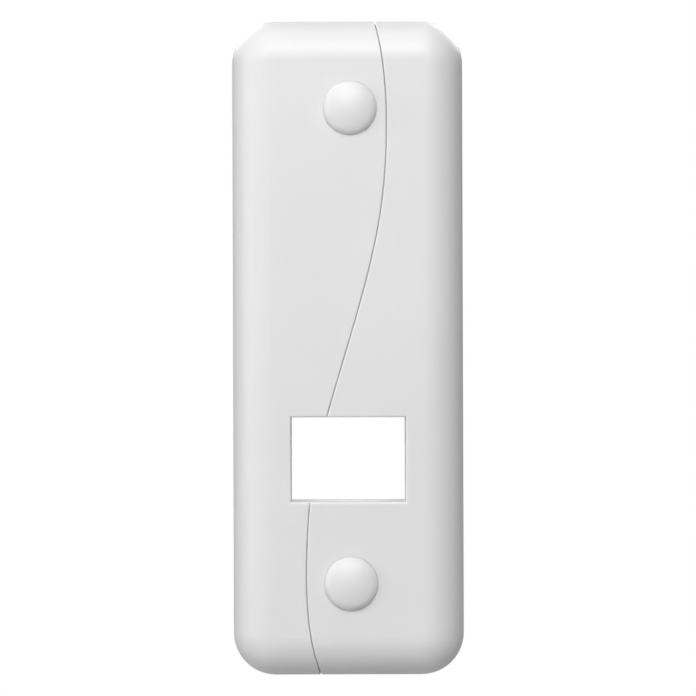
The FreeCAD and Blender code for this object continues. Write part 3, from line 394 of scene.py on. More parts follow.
for level, z in FIXINGS:
    under_head = SCREW_LENGTH - HEAD_HEIGHT
    profile = [(0, 0), (THREAD_CORE * 0.6, 0), (THREAD_CORE, 0.5), (THREAD_CORE, under_head - 0.4),
               (THREAD_OUTSIDE, under_head - 0.3), (THREAD_OUTSIDE, under_head),
               (HEAD_RADIUS - 0.15, under_head),
               (HEAD_RADIUS, under_head + 0.15), (HEAD_RADIUS, under_head + 0.55),
               (HEAD_RADIUS * 0.95, under_head + 1.2), (HEAD_RADIUS * 0.84, under_head + 1.6),
               (HEAD_RADIUS * 0.62, SCREW_LENGTH), (0, SCREW_LENGTH)]
    body = turned_mesh("screw_body", profile)
    for half_x, half_y in ((1.55, 0.42), (0.42, 1.55)):
        wing = wedge_mesh("recess", half_x, half_y, SCREW_LENGTH - 1.15, SCREW_LENGTH + 0.05, 0.5)
        body = cut_from("screw_body", body, wing)
    body.materials.clear()
    body.materials.append(zinc_steel)
    ridge = helix((THREAD_CORE + THREAD_OUTSIDE) / 2 - 0.03, THREAD_PITCH, 17.5, 0.6)
    thread = grown("thread", path_mesh("thread", [ridge]), FLAT_PATH, Width=0.30 * MM, Height=0.16 * MM,
                   Material=zinc_steel)
    whole = joined("cover_screw", [body, thread])
    whole.transform(facing_front(FIXING_X, SCREW_TIP_Y, z))
    piece(level + "_threaded_screw", whole, level + "_screw", [level + "_cover_screw"])
    clothe(level + "_retaining_washer", nylon)
clothe("threaded_inserts", brass)


# ------------------------------------------------------------ screw caps
# Shallow domed caps of the same white plastic, each moulded with a slotted skirt that snaps into the well
# over its screw. The dome's edge turns down tightly onto the cover's face.

FRONT_Y = -22.0
CAP_RADIUS, CROWN_RADIUS = 5.3, 11.5
EDGE_ROUND, EDGE_TURN = 1.9, math.radians(80)
SKIRT_OUTSIDE, SKIRT_INSIDE, SKIRT_LENGTH, CAP_WALL = 4.1, 3.25, 5.8, 1.2
DOME_STEPS, EDGE_STEPS, CAP_SIDES = 16, 12, 96


def cap_profile():
    """The cap's outline as (radius, height over the face), from under its ceiling out to its crown."""
    edge_x = CAP_RADIUS - EDGE_ROUND * math.sin(EDGE_TURN)
    slope = math.asin((edge_x) / (CROWN_RADIUS - EDGE_ROUND))
    centre = (edge_x, -EDGE_ROUND * math.cos(EDGE_TURN))
    crown = centre[1] + EDGE_ROUND * math.cos(slope) + CROWN_RADIUS * (1 - math.cos(slope))
    ceiling = crown - CAP_WALL
    outline = [(0, ceiling), (SKIRT_INSIDE, ceiling), (SKIRT_INSIDE, -SKIRT_LENGTH),
               (SKIRT_OUTSIDE - 0.2, -SKIRT_LENGTH), (SKIRT_OUTSIDE + 0.06, 1.2 - SKIRT_LENGTH),
               (SKIRT_OUTSIDE, 1.6 - SKIRT_LENGTH), (SKIRT_OUTSIDE, 0.0), (CAP_RADIUS, 0.0)]
    for i in range(1, EDGE_STEPS + 1):
        turn = EDGE_TURN + (slope - EDGE_TURN) * i / EDGE_STEPS
        outline.append((centre[0] + EDGE_ROUND * math.sin(turn), centre[1] + EDGE_ROUND * math.cos(turn)))
    for i in range(1, DOME_STEPS):
        turn = slope * (1 - i / DOME_STEPS)
        outline.append((CROWN_RADIUS * math.sin(turn), crown - CROWN_RADIUS * (1 - math.cos(turn))))
    return outline + [(0, crown)]


cap_plastic = moulded_plastic("cap_plastic", COVER_WHITE, roughness=0.40, under_skin=LIGHT_IN_PLASTIC)
for level, z in FIXINGS:
    cap = turned_mesh("cap", cap_profile(), CAP_SIDES)
    for half_x, half_y in ((6.0, 0.5), (0.5, 6.0)):
        cap = cut_from("cap", cap, wedge_mesh("slot", half_x, half_y, -SKIRT_LENGTH - 1, -1.3, 1.0))
    cap.materials.clear()
    cap.materials.append(cap_plastic)
    cap.transform(facing_front(FIXING_X, FRONT_Y, z))
    piece(level + "_domed_cap", cap, level + "_cap", [level + "_screw_cap"])


# ------------------------------------------------------------ foam tape pads
# Two strips of white acrylic foam tape, die cut and stuck in shallow recesses in the back.

foam, nodes, links, shader = new_material("foam_tape")
cells = object_noise(nodes, links, 2600.0, 4.0, 0.7)
factor = spread(nodes, links, cells.outputs["Fac"], 0.0, 1.0)
links.new(two_tone(nodes, links, factor, (0.58, 0.58, 0.57, 1.0), (0.70, 0.70, 0.69, 1.0)),
          shader.inputs["Base Color"])
shader.inputs["Roughness"].default_value = 0.9
bumped(nodes, links, shader, cells.outputs["Fac"], 0.5, 0.00006)
clothe("adhesive_pads", foam)


# ------------------------------------------------------------ cable clamp and small screws
# A black nylon bar arched over the cable, on two thread-forming screws. The board is held by three more.

black_nylon = moulded_plastic("black_nylon", (0.030, 0.030, 0.032, 1.0), roughness=0.48, cloud=0.10)
small_screw_zinc = metal("small_screw_zinc", shade(ZINC, 0.94), 0.30, scale=5500.0)
clothe("cable_clamp", black_nylon)
clothe("cable_clamp_screws", small_screw_zinc)
clothe("board_screws", small_screw_zinc)


# ------------------------------------------------------------ circuit board
# Glass-fibre laminate with green solder mask over the copper, routed to shape. Raised tracks run between the
# parts, small vias join its two sides, and every part is held by tinned solder.

BOARD_BACK_Y, BOARD_FRONT_Y = -5.0, -6.6
TRACK_WIDTH, TRACK_HEIGHT = 0.34, 0.06
MASK = (0.010, 0.115, 0.045, 1.0)
LAMINATE = (0.42, 0.38, 0.20, 1.0)
SOLDER = (0.70, 0.70, 0.71, 1.0)
ON_BOARD = facing_front(0, BOARD_FRONT_Y, 0)

laminate, nodes, links, shader = new_material("board_laminate")
place = nodes.new("ShaderNodeTexCoord")
parts = nodes.new("ShaderNodeSeparateXYZ")
links.new(place.outputs["Object"], parts.inputs[0])
middle = (BOARD_BACK_Y + BOARD_FRONT_Y) / 2 * MM
depth = nodes.new("ShaderNodeMath")
depth.operation = "SUBTRACT"
depth.inputs[1].default_value = middle
links.new(parts.outputs["Y"], depth.inputs[0])
away = nodes.new("ShaderNodeMath")
away.operation = "ABSOLUTE"
links.new(depth.outputs[0], away.inputs[0])
skin = nodes.new("ShaderNodeMath")
skin.operation = "GREATER_THAN"
skin.inputs[1].default_value = 0.74 * MM
links.new(away.outputs[0], skin.inputs[0])
weave = object_noise(nodes, links, 1100.0, 2.0, 0.5, (1.0, 1.0, 0.12))
pour = nodes.new("ShaderNodeTexVoronoi")
pour.inputs["Scale"].default_value = 170.0
links.new(place.outputs["Object"], pour.inputs["Vector"])
factor = spread(nodes, links, pour.outputs["Distance"], 0.0, 1.0, 0.25, 0.60)
green = two_tone(nodes, links, factor, shade(MASK, 0.85), shade(MASK, 1.25))
edge = two_tone(nodes, links, spread(nodes, links, weave.outputs["Fac"], 0.0, 1.0),
                shade(LAMINATE, 0.8), shade(LAMINATE, 1.2))
choose = nodes.new("ShaderNodeMix")
choose.data_type = "RGBA"
links.new(skin.outputs[0], choose.inputs["Factor"])
links.new(edge, choose.inputs["A"])
links.new(green, choose.inputs["B"])
links.new(choose.outputs["Result"], shader.inputs["Base Color"])
shader.inputs["Roughness"].default_value = 0.30
bumped(nodes, links, shader, weave.outputs["Fac"], 0.25, 0.00002)
clothe("circuit_board", laminate)

track_mask = moulded_plastic("track_mask", (0.045, 0.33, 0.13, 1.0), roughness=0.26, cloud=0.10)
solder = metal("solder", SOLDER, 0.24, scale=8000.0, stain=0.12)


def dogleg(x0, z0, x1, z1, across=False):
    """A track that runs straight, turns at 45 degrees and runs straight again, on the face of the board."""
    if across:
        return [(z, x, h) for x, z, h in dogleg(z0, x0, z1, x1)]
    side = abs(x1 - x0)
    first = (z1 - z0 - math.copysign(side, z1 - z0)) / 2
    return [(x0, z0, 0.0), (x0, z0 + first, 0.0), (x1, z1 - first, 0.0), (x1, z1, 0.0)]


def route(*points):
    return [(x, z, 0.0) for x, z in points]


tracks = [dogleg(5.0 + 2.54 * k, 8.3, 4.4 + 0.8 * k, 6.0) for k in (-1.5, -0.5, 0.5, 1.5)]
tracks += [dogleg(9.0, 3.2 + 0.8 * k, 15.2, 6.47 + 2.54 * k, across=True) for k in (0, 1)]
tracks += [
    route((0.4, 28.4), (-0.9, 27.1), (-0.9, 4.7), (-0.2, 4.0)),
    route((1.2, 28.4), (-0.45, 26.75), (-0.45, 16.4), (0.2, 15.7)),
    route((9.4, 30.2), (12.2, 30.2), (14.0, 28.4), (15.2, 28.4)),
    route((6.6, 24.0), (7.4, 24.8), (7.4, 27.8), (8.2, 28.6)),
    route((14.2, 12.6), (14.6, 12.2), (15.4, 12.2), (16.2, 11.6)),
    route((11.2, 20.6), (9.8, 19.2), (9.8, 18.0)), route((9.8, 16.6), (9.0, 15.8), (9.0, 15.2)),
    route((14.6, -9.0), (14.6, -42.4), (13.0, -44.0), (13.0, -46.5)),
    route((15.1, -9.0), (15.1, -44.2), (16.5, -45.6), (16.5, -46.5)),
    route((16.5, -12.3), (16.5, -10.8), (17.6, -9.7), (17.6, -2.0), (16.4, -0.8), (16.4, 0.2)),
    route((16.5, -32.0), (16.5, -33.4), (17.9, -34.8), (17.9, -42.0), (16.9, -43.0)),
    route((9.5, -46.5), (9.5, -44.4), (9.0, -43.9)), route((9.4, -36.6), (10.2, -35.8), (14.0, -35.8)),
    route((0.6, -3.2), (-0.7, -1.9), (-0.7, 0.6), (-0.2, 1.1)),
    route((0.0, -3.3), (-0.9, -2.4), (-0.9, -0.4)),
]
tracks += [dogleg(3.2 + 1.6 * k, -3.0, 2.4 + 4.0 * k, -4.0) for k in (0, 1)]
copper = grown("tracks", path_mesh("tracks", tracks), FLAT_PATH, Width=TRACK_WIDTH * MM,
               Height=TRACK_HEIGHT * MM, Material=track_mask)
copper.transform(ON_BOARD)
piece("board_tracks", copper, "housing")


def set_on(name, part, points, material):
    """One small part on each (x, z, turn in degrees, size) of the board's face."""
    holder = bpy.data.objects.new(name + "_part", part)
    bpy.context.collection.objects.link(holder)
    mesh = bpy.data.meshes.new(name)
    mesh.from_pydata([(x * MM, z * MM, 0.0) for x, z, turn, size in points], [], [])
    turns = mesh.attributes.new("turn", "FLOAT_VECTOR", "POINT")
    sizes = mesh.attributes.new("size", "FLOAT_VECTOR", "POINT")
    for i, (x, z, turn, size) in enumerate(points):
        turns.data[i].vector = (0.0, 0.0, math.radians(turn))
        sizes.data[i].vector = (size, size, size) if isinstance(size, (int, float)) else size
    result = grown(name, mesh, COPIES, Part=holder, Material=material)
    bpy.data.objects.remove(holder)
    result.transform(ON_BOARD)
    return result


via = turned_mesh("via", [(0, 0.0), (0.30, 0.0), (0.30, 0.06), (0.24, 0.08), (0.14, 0.08), (0.12, 0.02),
                          (0, 0.02)], 16)
vias = [(1.0 + 2.9 * i, z, 0, 1.0) for i, z in enumerate((39.3, 26.4, 16.9, 25.9))]
vias += [(12.0, 36.0 - 1.9 * i, 0, 1.0) for i in range(4)]
vias += [(17.9, z, 0, 1.0) for z in (38.0, 25.6, 16.2, 9.9)]
vias += [(x, z, 0, 1.0) for x, z in ((9.7, -1.4), (11.6, -7.6), (0.2, 7.2), (-0.9, -8.4), (12.4, -8.8))]
vias += [(18.1, -12.0 - 4.4 * i, 0, 1.0) for i in range(5)] + [(8.2, -57.6, 0, 1.0), (8.2, -41.0, 0, 1.0)]
piece("board_vias", set_on("board_vias", via, vias, solder), "housing")

joint = turned_mesh("joint", [(0, 0.0), (0.95, 0.0), (0.84, 0.08), (0.66, 0.22), (0.52, 0.42), (0.34, 0.56),
                              (0.15, 0.62), (0, 0.62)], 20)
joints = [(16.5, -12.1, 0, 1.0), (16.5, -32.1, 0, 1.0), (15.2, 28.4, 0, 0.9), (15.2, 38.4, 0, 0.9)]
joints += [(0.1, 36.1, 0, 1.0), (0.1, -3.3, 0, 1.0)]
piece("solder_joints", set_on("solder_joints", joint, joints, solder), "housing")


# ------------------------------------------------------------ chip resistors and capacitors
# Small ceramic parts, black or tan, each with two plated ends soldered to the board.

CHIP_PARTS = [  # x, z, whether it lies along X
    (11.4, 34.0, False), (11.4, 31.6, False), (10.4, 38.0, True), (13.2, 14.4, True), (13.2, 12.6, True),
    (12.4, 8.4, False), (9.8, 18.0, True), (9.8, 16.6, True), (0.4, 27.0, True), (6.4, 27.2, True),
    (15.0, -1.0, True), (10.4, 5.8, True), (15.6, -37.6, False), (9.4, -37.2, True), (9.0, -43.4, True),
    (16.4, -43.4, True), (16.4, -41.4, True),
]

ceramic, nodes, links, shader = new_material("chip_ceramic")
place = nodes.new("ShaderNodeTexCoord")
kinds = nodes.new("ShaderNodeTexVoronoi")
kinds.inputs["Scale"].default_value = 230.0
links.new(place.outputs["Object"], kinds.inputs["Vector"])
split = nodes.new("ShaderNodeSeparateColor")
links.new(kinds.outputs["Color"], split.inputs["Color"])
kind = nodes.new("ShaderNodeMath")
kind.operation = "GREATER_THAN"
kind.inputs[1].default_value = 0.5
links.new(split.outputs["Red"], kind.inputs[0])
links.new(two_tone(nodes, links, kind.outputs[0], (0.035, 0.035, 0.038, 1.0), (0.33, 0.22, 0.12, 1.0)),
          shader.inputs["Base Color"])
grain = object_noise(nodes, links, 5200.0, 2.0)
links.new(spread(nodes, links, grain.outputs["Fac"], 0.34, 0.52), shader.inputs["Roughness"])
clothe("chip_components", ceramic)

chip_end = wedge_mesh("chip_end", 0.19, 0.43, 0.0, 0.575, 1.05)
ends = [(x + s * (0.635 if flat else 0), z + s * (0 if flat else 0.635), 0 if flat else 90, 1.0)
        for x, z, flat in CHIP_PARTS for s in (-1, 1)]
piece("chip_ends", set_on("chip_ends", chip_end, ends, solder), "housing")


# ------------------------------------------------------------ microcontroller
# A square black epoxy package with eight tinned gull-wing leads on each side.

PACKAGE_X, PACKAGE_Z, PACKAGE_HALF = 4.4, 1.6, 3.5
LEAD_PITCH = 0.8
LEAD_HALF_WIDTH = 0.19


def package_epoxy(name, colour):
    """Moulded epoxy with glass filler: nearly black, with fine pale specks."""
    material, nodes, links, shader = new_material(name)
    specks = object_noise(nodes, links, 6500.0, 3.0, 0.7)
    factor = spread(nodes, links, specks.outputs["Fac"], 0.0, 1.0, 0.45, 0.85)
    links.new(two_tone(nodes, links, factor, colour, shade(colour, 2.6)), shader.inputs["Base Color"])
    links.new(spread(nodes, links, specks.outputs["Fac"], 0.44, 0.60), shader.inputs["Roughness"])
    bumped(nodes, links, shader, specks.outputs["Fac"], 0.3, 0.00001)
    return material


def gull_wing(name):
    """A bent lead: level out of the package, down, and level on the board. X outwards, Z up."""
    top = [(-0.15, 0.62), (0.32, 0.62), (0.52, 0.19), (1.0, 0.19)]
    under = [(1.0, 0.03), (0.42, 0.03), (0.22, 0.46), (-0.15, 0.46)]
    outline = top + under
    count = len(outline)
    verts = [(x * MM, side * LEAD_HALF_WIDTH * MM, z * MM) for side in (-1, 1) for x, z in outline]
    faces = [(0, 1, 6, 7), (1, 2, 5, 6), (2, 3, 4, 5)]
    faces += [tuple(i + count for i in reversed(face)) for face in faces[:3]]
    faces += [(i, i + count, (i + 1) % count + count, (i + 1) % count) for i in range(count)]
    mesh = bpy.data.meshes.new(name)
    mesh.from_pydata(verts, [], faces)
    return mesh


clothe("microcontroller", package_epoxy("chip_epoxy", (0.018, 0.018, 0.020, 1.0)))
leads = []
for turn in (0, 90, 180, 270):
    out = Matrix.Rotation(math.radians(turn), 2)
    for k in range(8):
        spot = out @ Vector((PACKAGE_HALF, LEAD_PITCH * (k - 3.5)))
        leads.append((PACKAGE_X + spot.x, PACKAGE_Z + spot.y, turn, 1.0))
piece("microcontroller_leads", set_on("microcontroller_leads", gull_wing("lead"), leads, solder),
      "housing")


# ------------------------------------------------------------ radio
# A drawn tinplate lid over the radio parts, soldered down, and next to it a helical antenna wound from
# copper-clad spring wire with both ends bent down to the board.

clothe("radio_shield_can", metal("tinplate", (0.66, 0.66, 0.66, 1.0), 0.34, (1.0, 1.0, 0.06), 7000.0))
antenna_wire = metal("antenna_wire", (0.72, 0.50, 0.26, 1.0), 0.24, scale=6500.0)
ANTENNA_X, ANTENNA_Y, ANTENNA_Z = 15.2, -9.7, 33.5
ANTENNA_RADIUS, ANTENNA_WIRE, ANTENNA_PITCH, ANTENNA_TURNS = 2.4, 0.7, 1.2, 7.5
winding = helix(ANTENNA_RADIUS, ANTENNA_PITCH, ANTENNA_TURNS, -4.5, 0.25)
board_at = BOARD_FRONT_Y - ANTENNA_Y
winding = [(0.0, board_at, -5.1), (0.0, ANTENNA_RADIUS + 0.2, -4.8)] + winding
winding += [(0.0, -ANTENNA_RADIUS, 4.9), (0.0, 0.6, 4.9), (0.0, board_at, 4.9)]
mesh = grown("antenna", path_mesh("antenna", [winding]), ROUND_PATH, Width=ANTENNA_WIRE * MM, Sides=12,
             Material=antenna_wire)
mesh.transform(Matrix.Translation((ANTENNA_X * MM, ANTENNA_Y * MM, ANTENNA_Z * MM)))
piece("wound_antenna", mesh, "housing", ["antenna_coil"])


# ------------------------------------------------------------ tamper switch and test button
# Two push switches with black bodies under stamped steel lids. The tall one's plunger has a collar over a
# spring, and the right cover's post holds it down. The short one is the test button.

LID_Y = -9.8
TAMPER_AT, BUTTON_AT = (14.9, 20.5), (3.4, 21.9)
TAMPER_SPRING_RADIUS, TAMPER_SPRING_WIRE, TAMPER_SPRING_PITCH, TAMPER_SPRING_TURNS = 2.25, 0.4, 0.95, 3.5
TAMPER_SPRING_Y = -10.35


def lidded(name, colour, lid_colour, lid_y):
    """A moulded body whose top is a stamped metal lid."""
    material, nodes, links, shader = new_material(name)
    lid = past(nodes, links, "Y", lid_y * MM, "LESS_THAN")
    brushed = object_noise(nodes, links, 1500.0, 3.0, 0.6, (0.1, 1.0, 1.0))
    links.new(lid, shader.inputs["Metallic"])
    links.new(two_tone(nodes, links, lid, colour, lid_colour), shader.inputs["Base Color"])
    links.new(spread(nodes, links, brushed.outputs["Fac"], 0.30, 0.46), shader.inputs["Roughness"])
    bumped(nodes, links, shader, brushed.outputs["Fac"], 0.25, 0.00001)
    return material


switch_body = lidded("switch_body", (0.022, 0.022, 0.024, 1.0), (0.60, 0.60, 0.61, 1.0), LID_Y)
for node in ("tamper_switch_body", "test_button_body"):
    clothe(node, switch_body)
button_plastic = moulded_plastic("button_plastic", (0.55, 0.53, 0.48, 1.0), roughness=0.34)
clothe("test_button_plunger", button_plastic)
clothe("tamper_plunger", moulded_plastic("plunger_plastic", (0.05, 0.05, 0.055, 1.0), roughness=0.34))
legs = [(x + sx * 2.95, z + 2.25 * sz, 90 - 90 * sx, 1.35) for x, z in (TAMPER_AT, BUTTON_AT)
        for sx in (-1, 1) for sz in (-1, 1)]
piece("switch_legs", set_on("switch_legs", gull_wing("leg"), legs, solder), "housing")

spring_wire = metal("spring_wire", (0.55, 0.55, 0.56, 1.0), 0.22, scale=7500.0)
coil_path = helix(TAMPER_SPRING_RADIUS, TAMPER_SPRING_PITCH, TAMPER_SPRING_TURNS)
mesh = grown("tamper_spring", path_mesh("tamper_spring", [coil_path]), ROUND_PATH,
             Width=TAMPER_SPRING_WIRE * MM, Sides=10, Material=spring_wire)
mesh.transform(facing_front(TAMPER_AT[0], TAMPER_SPRING_Y, TAMPER_AT[1]))
piece("wound_tamper_spring", mesh, "housing", ["tamper_spring"])


# ------------------------------------------------------------ option switch
# A four-way slide switch that sets the sensor's options: red body, white sliders, tinned legs on both sides.

OPTION_X, OPTION_Z, OPTION_PITCH = 5.0, 11.8, 2.54

clothe("dip_switch_body", moulded_plastic("dip_red", (0.42, 0.022, 0.016, 1.0), roughness=0.36, cloud=0.06))
slider_white = moulded_plastic("slider_white", (0.74, 0.74, 0.72, 1.0), roughness=0.34)
for k in range(4):
    clothe("dip_slider_%d" % (k + 1), slider_white)
legs = [(OPTION_X + OPTION_PITCH * (k - 1.5), OPTION_Z + 3.05 * s, 90 * s, 1.25)
        for k in range(4) for s in (-1, 1)]
piece("option_switch_legs", set_on("option_switch_legs", gull_wing("leg"), legs, solder),
      "housing")


# ------------------------------------------------------------ crystal, capacitor and lamp
# A drawn steel crystal can on its flange, an electrolytic capacitor on a black foot with a dark mark down its
# negative side, and a red signal lamp of tinted epoxy.

clothe("crystal_can", metal("crystal_metal", (0.68, 0.68, 0.67, 1.0), 0.32, (0.06, 1.0, 1.0), 7000.0))
clothe("capacitor_foot", moulded_plastic("capacitor_foot", (0.020, 0.020, 0.022, 1.0), roughness=0.45))

MARK_EDGE_X = 13.1
aluminium, nodes, links, shader = new_material("capacitor_metal")
mark = past(nodes, links, "X", MARK_EDGE_X * MM, "LESS_THAN")
lines = object_noise(nodes, links, 2200.0, 3.0, 0.6, (1.0, 0.1, 1.0))
shader.inputs["Metallic"].default_value = 0.9
links.new(two_tone(nodes, links, mark, (0.72, 0.73, 0.74, 1.0), (0.03, 0.03, 0.035, 1.0)),
          shader.inputs["Base Color"])
links.new(spread(nodes, links, lines.outputs["Fac"], 0.24, 0.42), shader.inputs["Roughness"])
clothe("capacitor_can", aluminium)

lens, nodes, links, shader = new_material("lamp_lens")
swirl = object_noise(nodes, links, 1400.0, 3.0)
factor = spread(nodes, links, swirl.outputs["Fac"], 0.0, 1.0)
links.new(two_tone(nodes, links, factor, (0.50, 0.020, 0.012, 1.0), (0.72, 0.040, 0.020, 1.0)),
          shader.inputs["Base Color"])
shader.inputs["Roughness"].default_value = 0.14
shader.inputs["Transmission Weight"].default_value = 0.45
shader.inputs["IOR"].default_value = 1.52
clothe("status_led", lens)


# ------------------------------------------------------------ option header
# Four gold-plated square pins in a black strip, two of them bridged by a black jumper.

clothe("header_body", moulded_plastic("header_black", (0.020, 0.020, 0.022, 1.0), roughness=0.44))
clothe("header_shunt", moulded_plastic("shunt_black", (0.028, 0.028, 0.032, 1.0), roughness=0.36))
clothe("header_pins", metal("pin_gold", (0.82, 0.61, 0.24, 1.0), 0.20, scale=8000.0, stain=0.06))


# ------------------------------------------------------------ reed switch
# Two flat nickel-iron blades sealed in a thin glass tube beside the window, on round leads bent to the board.

glass, nodes, links, shader = new_material("reed_glass")
ripple = object_noise(nodes, links, 900.0, 2.0, 0.5, (1.0, 1.0, 0.2))
factor = spread(nodes, links, ripple.outputs["Fac"], 0.0, 1.0)
links.new(two_tone(nodes, links, factor, (0.86, 0.93, 0.88, 1.0), (0.93, 0.97, 0.94, 1.0)),
          shader.inputs["Base Color"])
shader.inputs["Roughness"].default_value = 0.04
shader.inputs["Transmission Weight"].default_value = 0.95
shader.inputs["IOR"].default_value = 1.5
bumped(nodes, links, shader, ripple.outputs["Fac"], 0.2, 0.00002)
clothe("reed_glass", glass)
alloy = metal("reed_alloy", (0.58, 0.57, 0.54, 1.0), 0.26, (1.0, 1.0, 0.1), 6000.0)
clothe("reed_leads", alloy)
clothe("reed_moving_blade", alloy)


# ------------------------------------------------------------ terminal block
# A three-way block for an outside contact's wires: green polyamide, brass cages and slotted steel screws.

TERMINAL_GREEN = (0.020, 0.21, 0.075, 1.0)

clothe("terminal_block", moulded_plastic("terminal_green", TERMINAL_GREEN, roughness=0.40, cloud=0.08))
clothe("terminal_clamps", brass)
for k in range(3):
    clothe("terminal_screw_%d" % (k + 1), small_screw_zinc)


# ------------------------------------------------------------ battery
# A 3 V lithium cell in a shrink sleeve: nickel-plated can, blue sleeve, black seal and raised cap. It sits
# between two nickel-plated contacts, one with a coil spring, which are wired to the board.

BAND_EDGE_Z = 27.5
CELL_SPRING_AT = (-11.2, -11.0, -2.85)
CELL_SPRING_RADIUS, CELL_SPRING_WIRE, CELL_SPRING_PITCH, CELL_SPRING_TURNS = 3.2, 0.56, 0.95, 3.6
WIRE_WIDTH = 0.9
WIRES = [  # colour's name, colour, height
    ("red", (0.45, 0.015, 0.012, 1.0), 36.05),
    ("black", (0.018, 0.018, 0.020, 1.0), -3.3),
]

clothe("battery_can", metal("cell_steel", (0.64, 0.63, 0.60, 1.0), 0.28, (1.0, 1.0, 0.06), 6000.0))
clothe("battery_cap", metal("cap_nickel", (0.66, 0.65, 0.61, 1.0), 0.24, scale=4500.0))
clothe("battery_winding", package_epoxy("cell_winding", (0.035, 0.035, 0.038, 1.0)))
clothe("battery_seal", moulded_plastic("cell_seal", (0.022, 0.022, 0.024, 1.0), roughness=0.42))

sleeve, nodes, links, shader = new_material("cell_sleeve")
pull = object_noise(nodes, links, 520.0, 4.0, 0.6, (1.0, 1.0, 0.12))
band = past(nodes, links, "Z", BAND_EDGE_Z * MM, "GREATER_THAN")
factor = spread(nodes, links, pull.outputs["Fac"], 0.0, 1.0)
blue = two_tone(nodes, links, factor, (0.014, 0.055, 0.17, 1.0), (0.022, 0.075, 0.22, 1.0))
choose = nodes.new("ShaderNodeMix")
choose.data_type = "RGBA"
links.new(band, choose.inputs["Factor"])
links.new(blue, choose.inputs["A"])
choose.inputs["B"].default_value = (0.50, 0.51, 0.52, 1.0)
links.new(choose.outputs["Result"], shader.inputs["Base Color"])
shader.inputs["Roughness"].default_value = 0.24
bumped(nodes, links, shader, pull.outputs["Fac"], 0.3, 0.00003)
clothe("battery_wrap", sleeve)

nickel = metal("contact_nickel", (0.67, 0.65, 0.60, 1.0), 0.28, (0.1, 1.0, 1.0), 6000.0)
for node in ("positive_contact", "negative_contact"):
    clothe(node, nickel)
coil_path = helix(CELL_SPRING_RADIUS, CELL_SPRING_PITCH, CELL_SPRING_TURNS)
mesh = grown("cell_spring", path_mesh("cell_spring", [coil_path]), ROUND_PATH,
             Width=CELL_SPRING_WIRE * MM, Sides=10, Material=spring_wire)
mesh.transform(Matrix.Translation([c * MM for c in CELL_SPRING_AT]))
piece("wound_battery_spring", mesh, "housing", ["battery_spring"])

for name, colour, z in WIRES:
    insulation = moulded_plastic("wire_" + name, colour, roughness=0.38, cloud=0.06)
    loop = [(-3.0, -6.0, z), (-2.7, -6.9, z), (-2.1, -7.9, z), (-1.3, -8.4, z), (-0.5, -8.2, z),
            (0.0, -7.6, z), (0.1, -6.9, z)]
    mesh = grown("wire", path_mesh("wire", [loop]), ROUND_PATH, Width=WIRE_WIDTH * MM, Sides=12,
                 Material=insulation)
    piece("battery_wire_" + name, mesh, "housing")


# ------------------------------------------------------------ studio
# A white room: a pale floor below the housing, a large soft light high in front, weaker ones above and to the
# left, and two behind. The room looks white behind the housing but gives only a little light of its own.

CAMERA_DISTANCE = 1.0
LENS = 255.9
CAMERA_ROLL = 0.18
FLOOR_Z = -0.14
FLOOR_REACH = 4.0
ROOM_LIGHT = 0.06
SOFT_LIGHTS = [  # name, degrees to the right of the front, degrees up, metres away, metres across, watts
    ("high_front", 0, 35, 1.0, 0.6, 7.0),
    ("left_side", -70, 10, 1.0, 0.6, 2.5),
    ("upper_left", -30, 25, 1.2, 0.6, 2.0),
    ("above", 0, 80, 1.0, 0.6, 1.8),
    ("back_left", -150, 30, 1.2, 0.6, 6.0),
    ("back_right", 150, 30, 1.2, 0.6, 7.0),
]


def only_seen(nodes, links, seen, felt):
    """One shader for what the camera sees and another for the light that reaches the housing."""
    path = nodes.new("ShaderNodeLightPath")
    mix = nodes.new("ShaderNodeMixShader")
    links.new(path.outputs["Is Camera Ray"], mix.inputs["Fac"])
    links.new(felt.outputs[0], mix.inputs[1])
    links.new(seen.outputs[0], mix.inputs[2])
    return mix


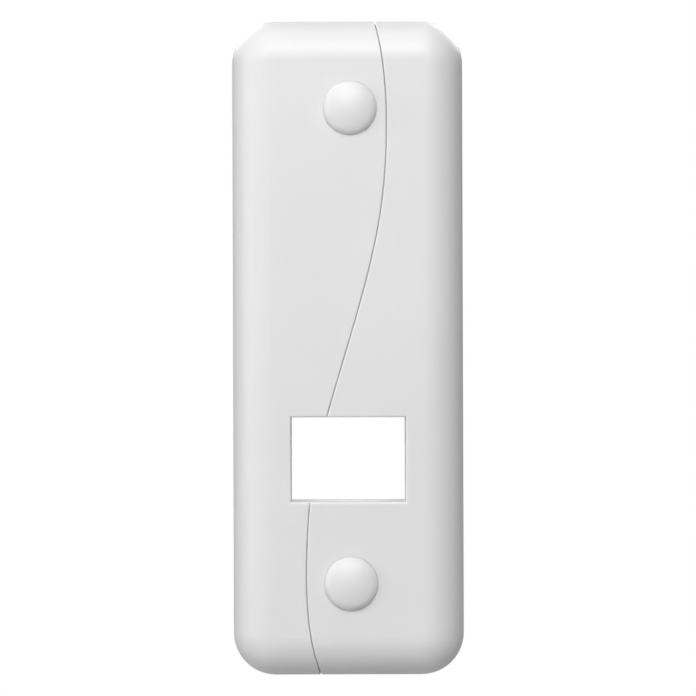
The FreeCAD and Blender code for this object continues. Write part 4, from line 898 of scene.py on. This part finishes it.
room = bpy.data.worlds.new("room")
bpy.context.scene.world = room
room.use_nodes = True
nodes, links = room.node_tree.nodes, room.node_tree.links
felt = nodes["Background"]
felt.inputs["Strength"].default_value = ROOM_LIGHT
felt.inputs["Color"].default_value = (1.0, 1.0, 1.0, 1.0)
seen = nodes.new("ShaderNodeBackground")
seen.inputs["Color"].default_value = (1.0, 1.0, 1.0, 1.0)
mix = only_seen(nodes, links, seen, felt)
links.new(mix.outputs[0], nodes["World Output"].inputs["Surface"])

floor_paint, nodes, links, shader = new_material("floor_paint")
shader.inputs["Base Color"].default_value = (0.38, 0.38, 0.38, 1.0)
shader.inputs["Roughness"].default_value = 0.9
glow = nodes.new("ShaderNodeEmission")
mix = only_seen(nodes, links, glow, shader)
links.new(mix.outputs[0], nodes["Material Output"].inputs["Surface"])
floor_mesh = bpy.data.meshes.new("floor")
corners = [(x, y, FLOOR_Z) for x, y in ((-1, -1), (1, -1), (1, 1), (-1, 1))]
floor_mesh.from_pydata([(x * FLOOR_REACH, y * FLOOR_REACH, z) for x, y, z in corners], [], [(0, 1, 2, 3)])
floor_mesh.materials.append(floor_paint)
floor = bpy.data.objects.new("floor", floor_mesh)
bpy.context.collection.objects.link(floor)

for name, right, up, away, across, watts in SOFT_LIGHTS:
    turn, lift = math.radians(right), math.radians(up)
    place = away * Vector((math.sin(turn) * math.cos(lift), -math.cos(turn) * math.cos(lift), math.sin(lift)))
    lamp = bpy.data.lights.new(name, "AREA")
    lamp.shape = "SQUARE"
    lamp.size = across
    lamp.energy = watts
    holder = bpy.data.objects.new(name, lamp)
    holder.location = place
    holder.rotation_euler = (-place).to_track_quat("-Z", "Y").to_euler()
    holder.visible_camera = False
    bpy.context.collection.objects.link(holder)

camera = bpy.data.cameras.new("camera")
camera.lens = LENS
camera.sensor_width = 36.0
camera.clip_start = 0.01
stand = bpy.data.objects.new("camera", camera)
stand.location = (0.0, -CAMERA_DISTANCE, 0.0)
stand.rotation_euler = (math.radians(90.0), math.radians(CAMERA_ROLL), 0.0)
bpy.context.collection.objects.link(stand)
bpy.context.scene.camera = stand
bpy.context.scene.view_settings.view_transform = "Standard"
